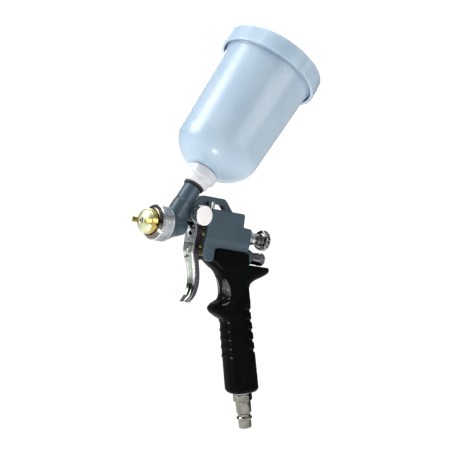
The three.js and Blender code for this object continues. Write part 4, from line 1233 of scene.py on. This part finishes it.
gun_body()
passage_plug()
air_cap_ring()
air_cap()
fluid_nozzle()
needle_line()
knob_bush()
fluid_knob()
air_valve_line()
regulator_knob()
coil("needle_return_spring", SPRAY, "needle_spring", 0.45, 9)
coil("valve_return_spring", VALVE, "air_valve_spring", 0.5, 7)
trigger()
fan_control()
pivot_screw()
cup_joint()
paint_cup()
strainer()
cup_lid()
vent_plug()
grip_cover()
air_inlet()
finish_hidden(BRASS, "spring_guide", "air_valve_seat")
finish_hidden(
    SEAL, "cap_seal_ring", "needle_packing", "air_valve_packing", "air_valve_poppet", "regulator_seal",
    "fan_spindle_seal", "lid_gasket",
)

# ---- studio

VIEW_AZIMUTH = radians(-40)
VIEW_ELEVATION = radians(-1.5)
VIEW_ROLL = radians(8.7)
VIEW_DISTANCE = 1.5
VIEW_LENS = 138.9
AIM = Vector((0.00305, -0.01957, -0.01763))
FLOOR_DROP = 0.12
WHITE_LEVEL = 1.1
ROOM_LEVEL = 0.42


def from_angle(azimuth, elevation):
    """Unit vector towards a place round the gun: azimuth 0 is the gun's left side."""
    level = cos(elevation)
    return Vector((sin(azimuth) * level, -cos(azimuth) * level, sin(elevation)))


def camera():
    back = from_angle(VIEW_AZIMUTH, VIEW_ELEVATION)
    right = Vector((cos(VIEW_AZIMUTH), sin(VIEW_AZIMUTH), 0))
    up = back.cross(right)
    turned_right = right * cos(VIEW_ROLL) + up * sin(VIEW_ROLL)
    turned_up = up * cos(VIEW_ROLL) - right * sin(VIEW_ROLL)
    data = bpy.data.cameras.new("camera")
    data.lens = VIEW_LENS
    data.sensor_width = 36
    obj = placed("camera", data)
    turn = Matrix((turned_right, turned_up, back)).transposed().to_4x4()
    obj.matrix_world = Matrix.Translation(AIM + back * VIEW_DISTANCE) @ turn
    bpy.context.scene.camera = obj


def softbox(name, azimuth, elevation, distance, size, power):
    data = bpy.data.lights.new(name, "AREA")
    data.shape = "RECTANGLE"
    data.size, data.size_y = size
    data.energy = power
    obj = placed(name, data)
    toward = from_angle(radians(azimuth), radians(elevation))
    obj.location = AIM + toward * distance
    obj.rotation_euler = toward.to_track_quat("Z", "Y").to_euler()


def seen_apart(tree, seen, unseen):
    """One shader for what the camera sees directly, another for light and reflections."""
    path = tree.nodes.new("ShaderNodeLightPath")
    mix = tree.nodes.new("ShaderNodeMixShader")
    tree.links.new(path.outputs["Is Camera Ray"], mix.inputs[0])
    tree.links.new(unseen, mix.inputs[1])
    tree.links.new(seen, mix.inputs[2])
    return mix.outputs["Shader"]


def floor():
    """A sheet of white paper well below the gun, lit to pure white as in the photograph."""
    low, reach = CAD_BOX[0].z - FLOOR_DROP, 12
    corners = [(-reach, -reach, low), (reach, -reach, low), (reach, reach, low), (-reach, reach, low)]
    mesh = bpy.data.meshes.new("floor")
    mesh.from_pydata(corners, [], [(0, 1, 2, 3)])
    obj = placed("floor", mesh)
    look = Look(
        "floor_paper", (0.85, 0.85, 0.86, 1), 0.8, Emission_Color=(1, 1, 1, 1), Emission_Strength=0.3)
    glow = look.tree.nodes.new("ShaderNodeEmission")
    glow.inputs["Strength"].default_value = WHITE_LEVEL
    surface = seen_apart(look.tree, glow.outputs["Emission"], look.shader.outputs["BSDF"])
    look.link(surface, look.tree.nodes["Material Output"].inputs["Surface"])
    mesh.materials.append(look.material)


def studio_air():
    """The room round the gun: pale above, dark at eye level for the metal to reflect, grey below."""
    world = bpy.data.worlds.new("studio")
    bpy.context.scene.world = world
    world.use_nodes = True
    tree = world.node_tree
    tree.nodes.clear()
    place, split, shift, ramp, room, paper, out = (tree.nodes.new("ShaderNode" + kind) for kind in (
        "TexCoord", "SeparateXYZ", "MapRange", "ValToRGB", "Background", "Background", "OutputWorld"))
    shift.inputs["From Min"].default_value = -1
    for output, socket in (
        (place.outputs["Generated"], split.inputs["Vector"]),
        (split.outputs["Z"], shift.inputs["Value"]),
        (shift.outputs["Result"], ramp.inputs["Fac"]),
        (ramp.outputs["Color"], room.inputs["Color"]),
        (seen_apart(tree, paper.outputs["Background"], room.outputs["Background"]), out.inputs["Surface"]),
    ):
        tree.links.new(output, socket)
    stops = ramp.color_ramp.elements
    stops[0].position, stops[0].color = 0.0, (0.8, 0.8, 0.8, 1)
    stops[1].position, stops[1].color = 1.0, (1, 1, 1, 1)
    for position, grey in ((0.46, 0.3), (0.49, 0.05), (0.58, 0.07), (0.7, 0.6)):
        stop = stops.new(position)
        stop.color = (grey, grey, grey * 1.05, 1)
    room.inputs["Strength"].default_value = ROOM_LEVEL
    paper.inputs["Color"].default_value = (1, 1, 1, 1)
    paper.inputs["Strength"].default_value = WHITE_LEVEL


camera()
floor()
studio_air()
softbox("key", -123, 29, 1.1, (0.55, 0.85), 12)
softbox("fill", 14, 13, 1.3, (0.95, 0.7), 6)
softbox("top", -60, 78, 1.0, (0.7, 0.7), 4)
softbox("rim", 150, 30, 1.2, (0.4, 0.9), 5)
softbox("spark", -68.6, -35.7, 0.42, (0.03, 0.03), 0.4)
bpy.context.scene.view_settings.view_transform = "Standard"
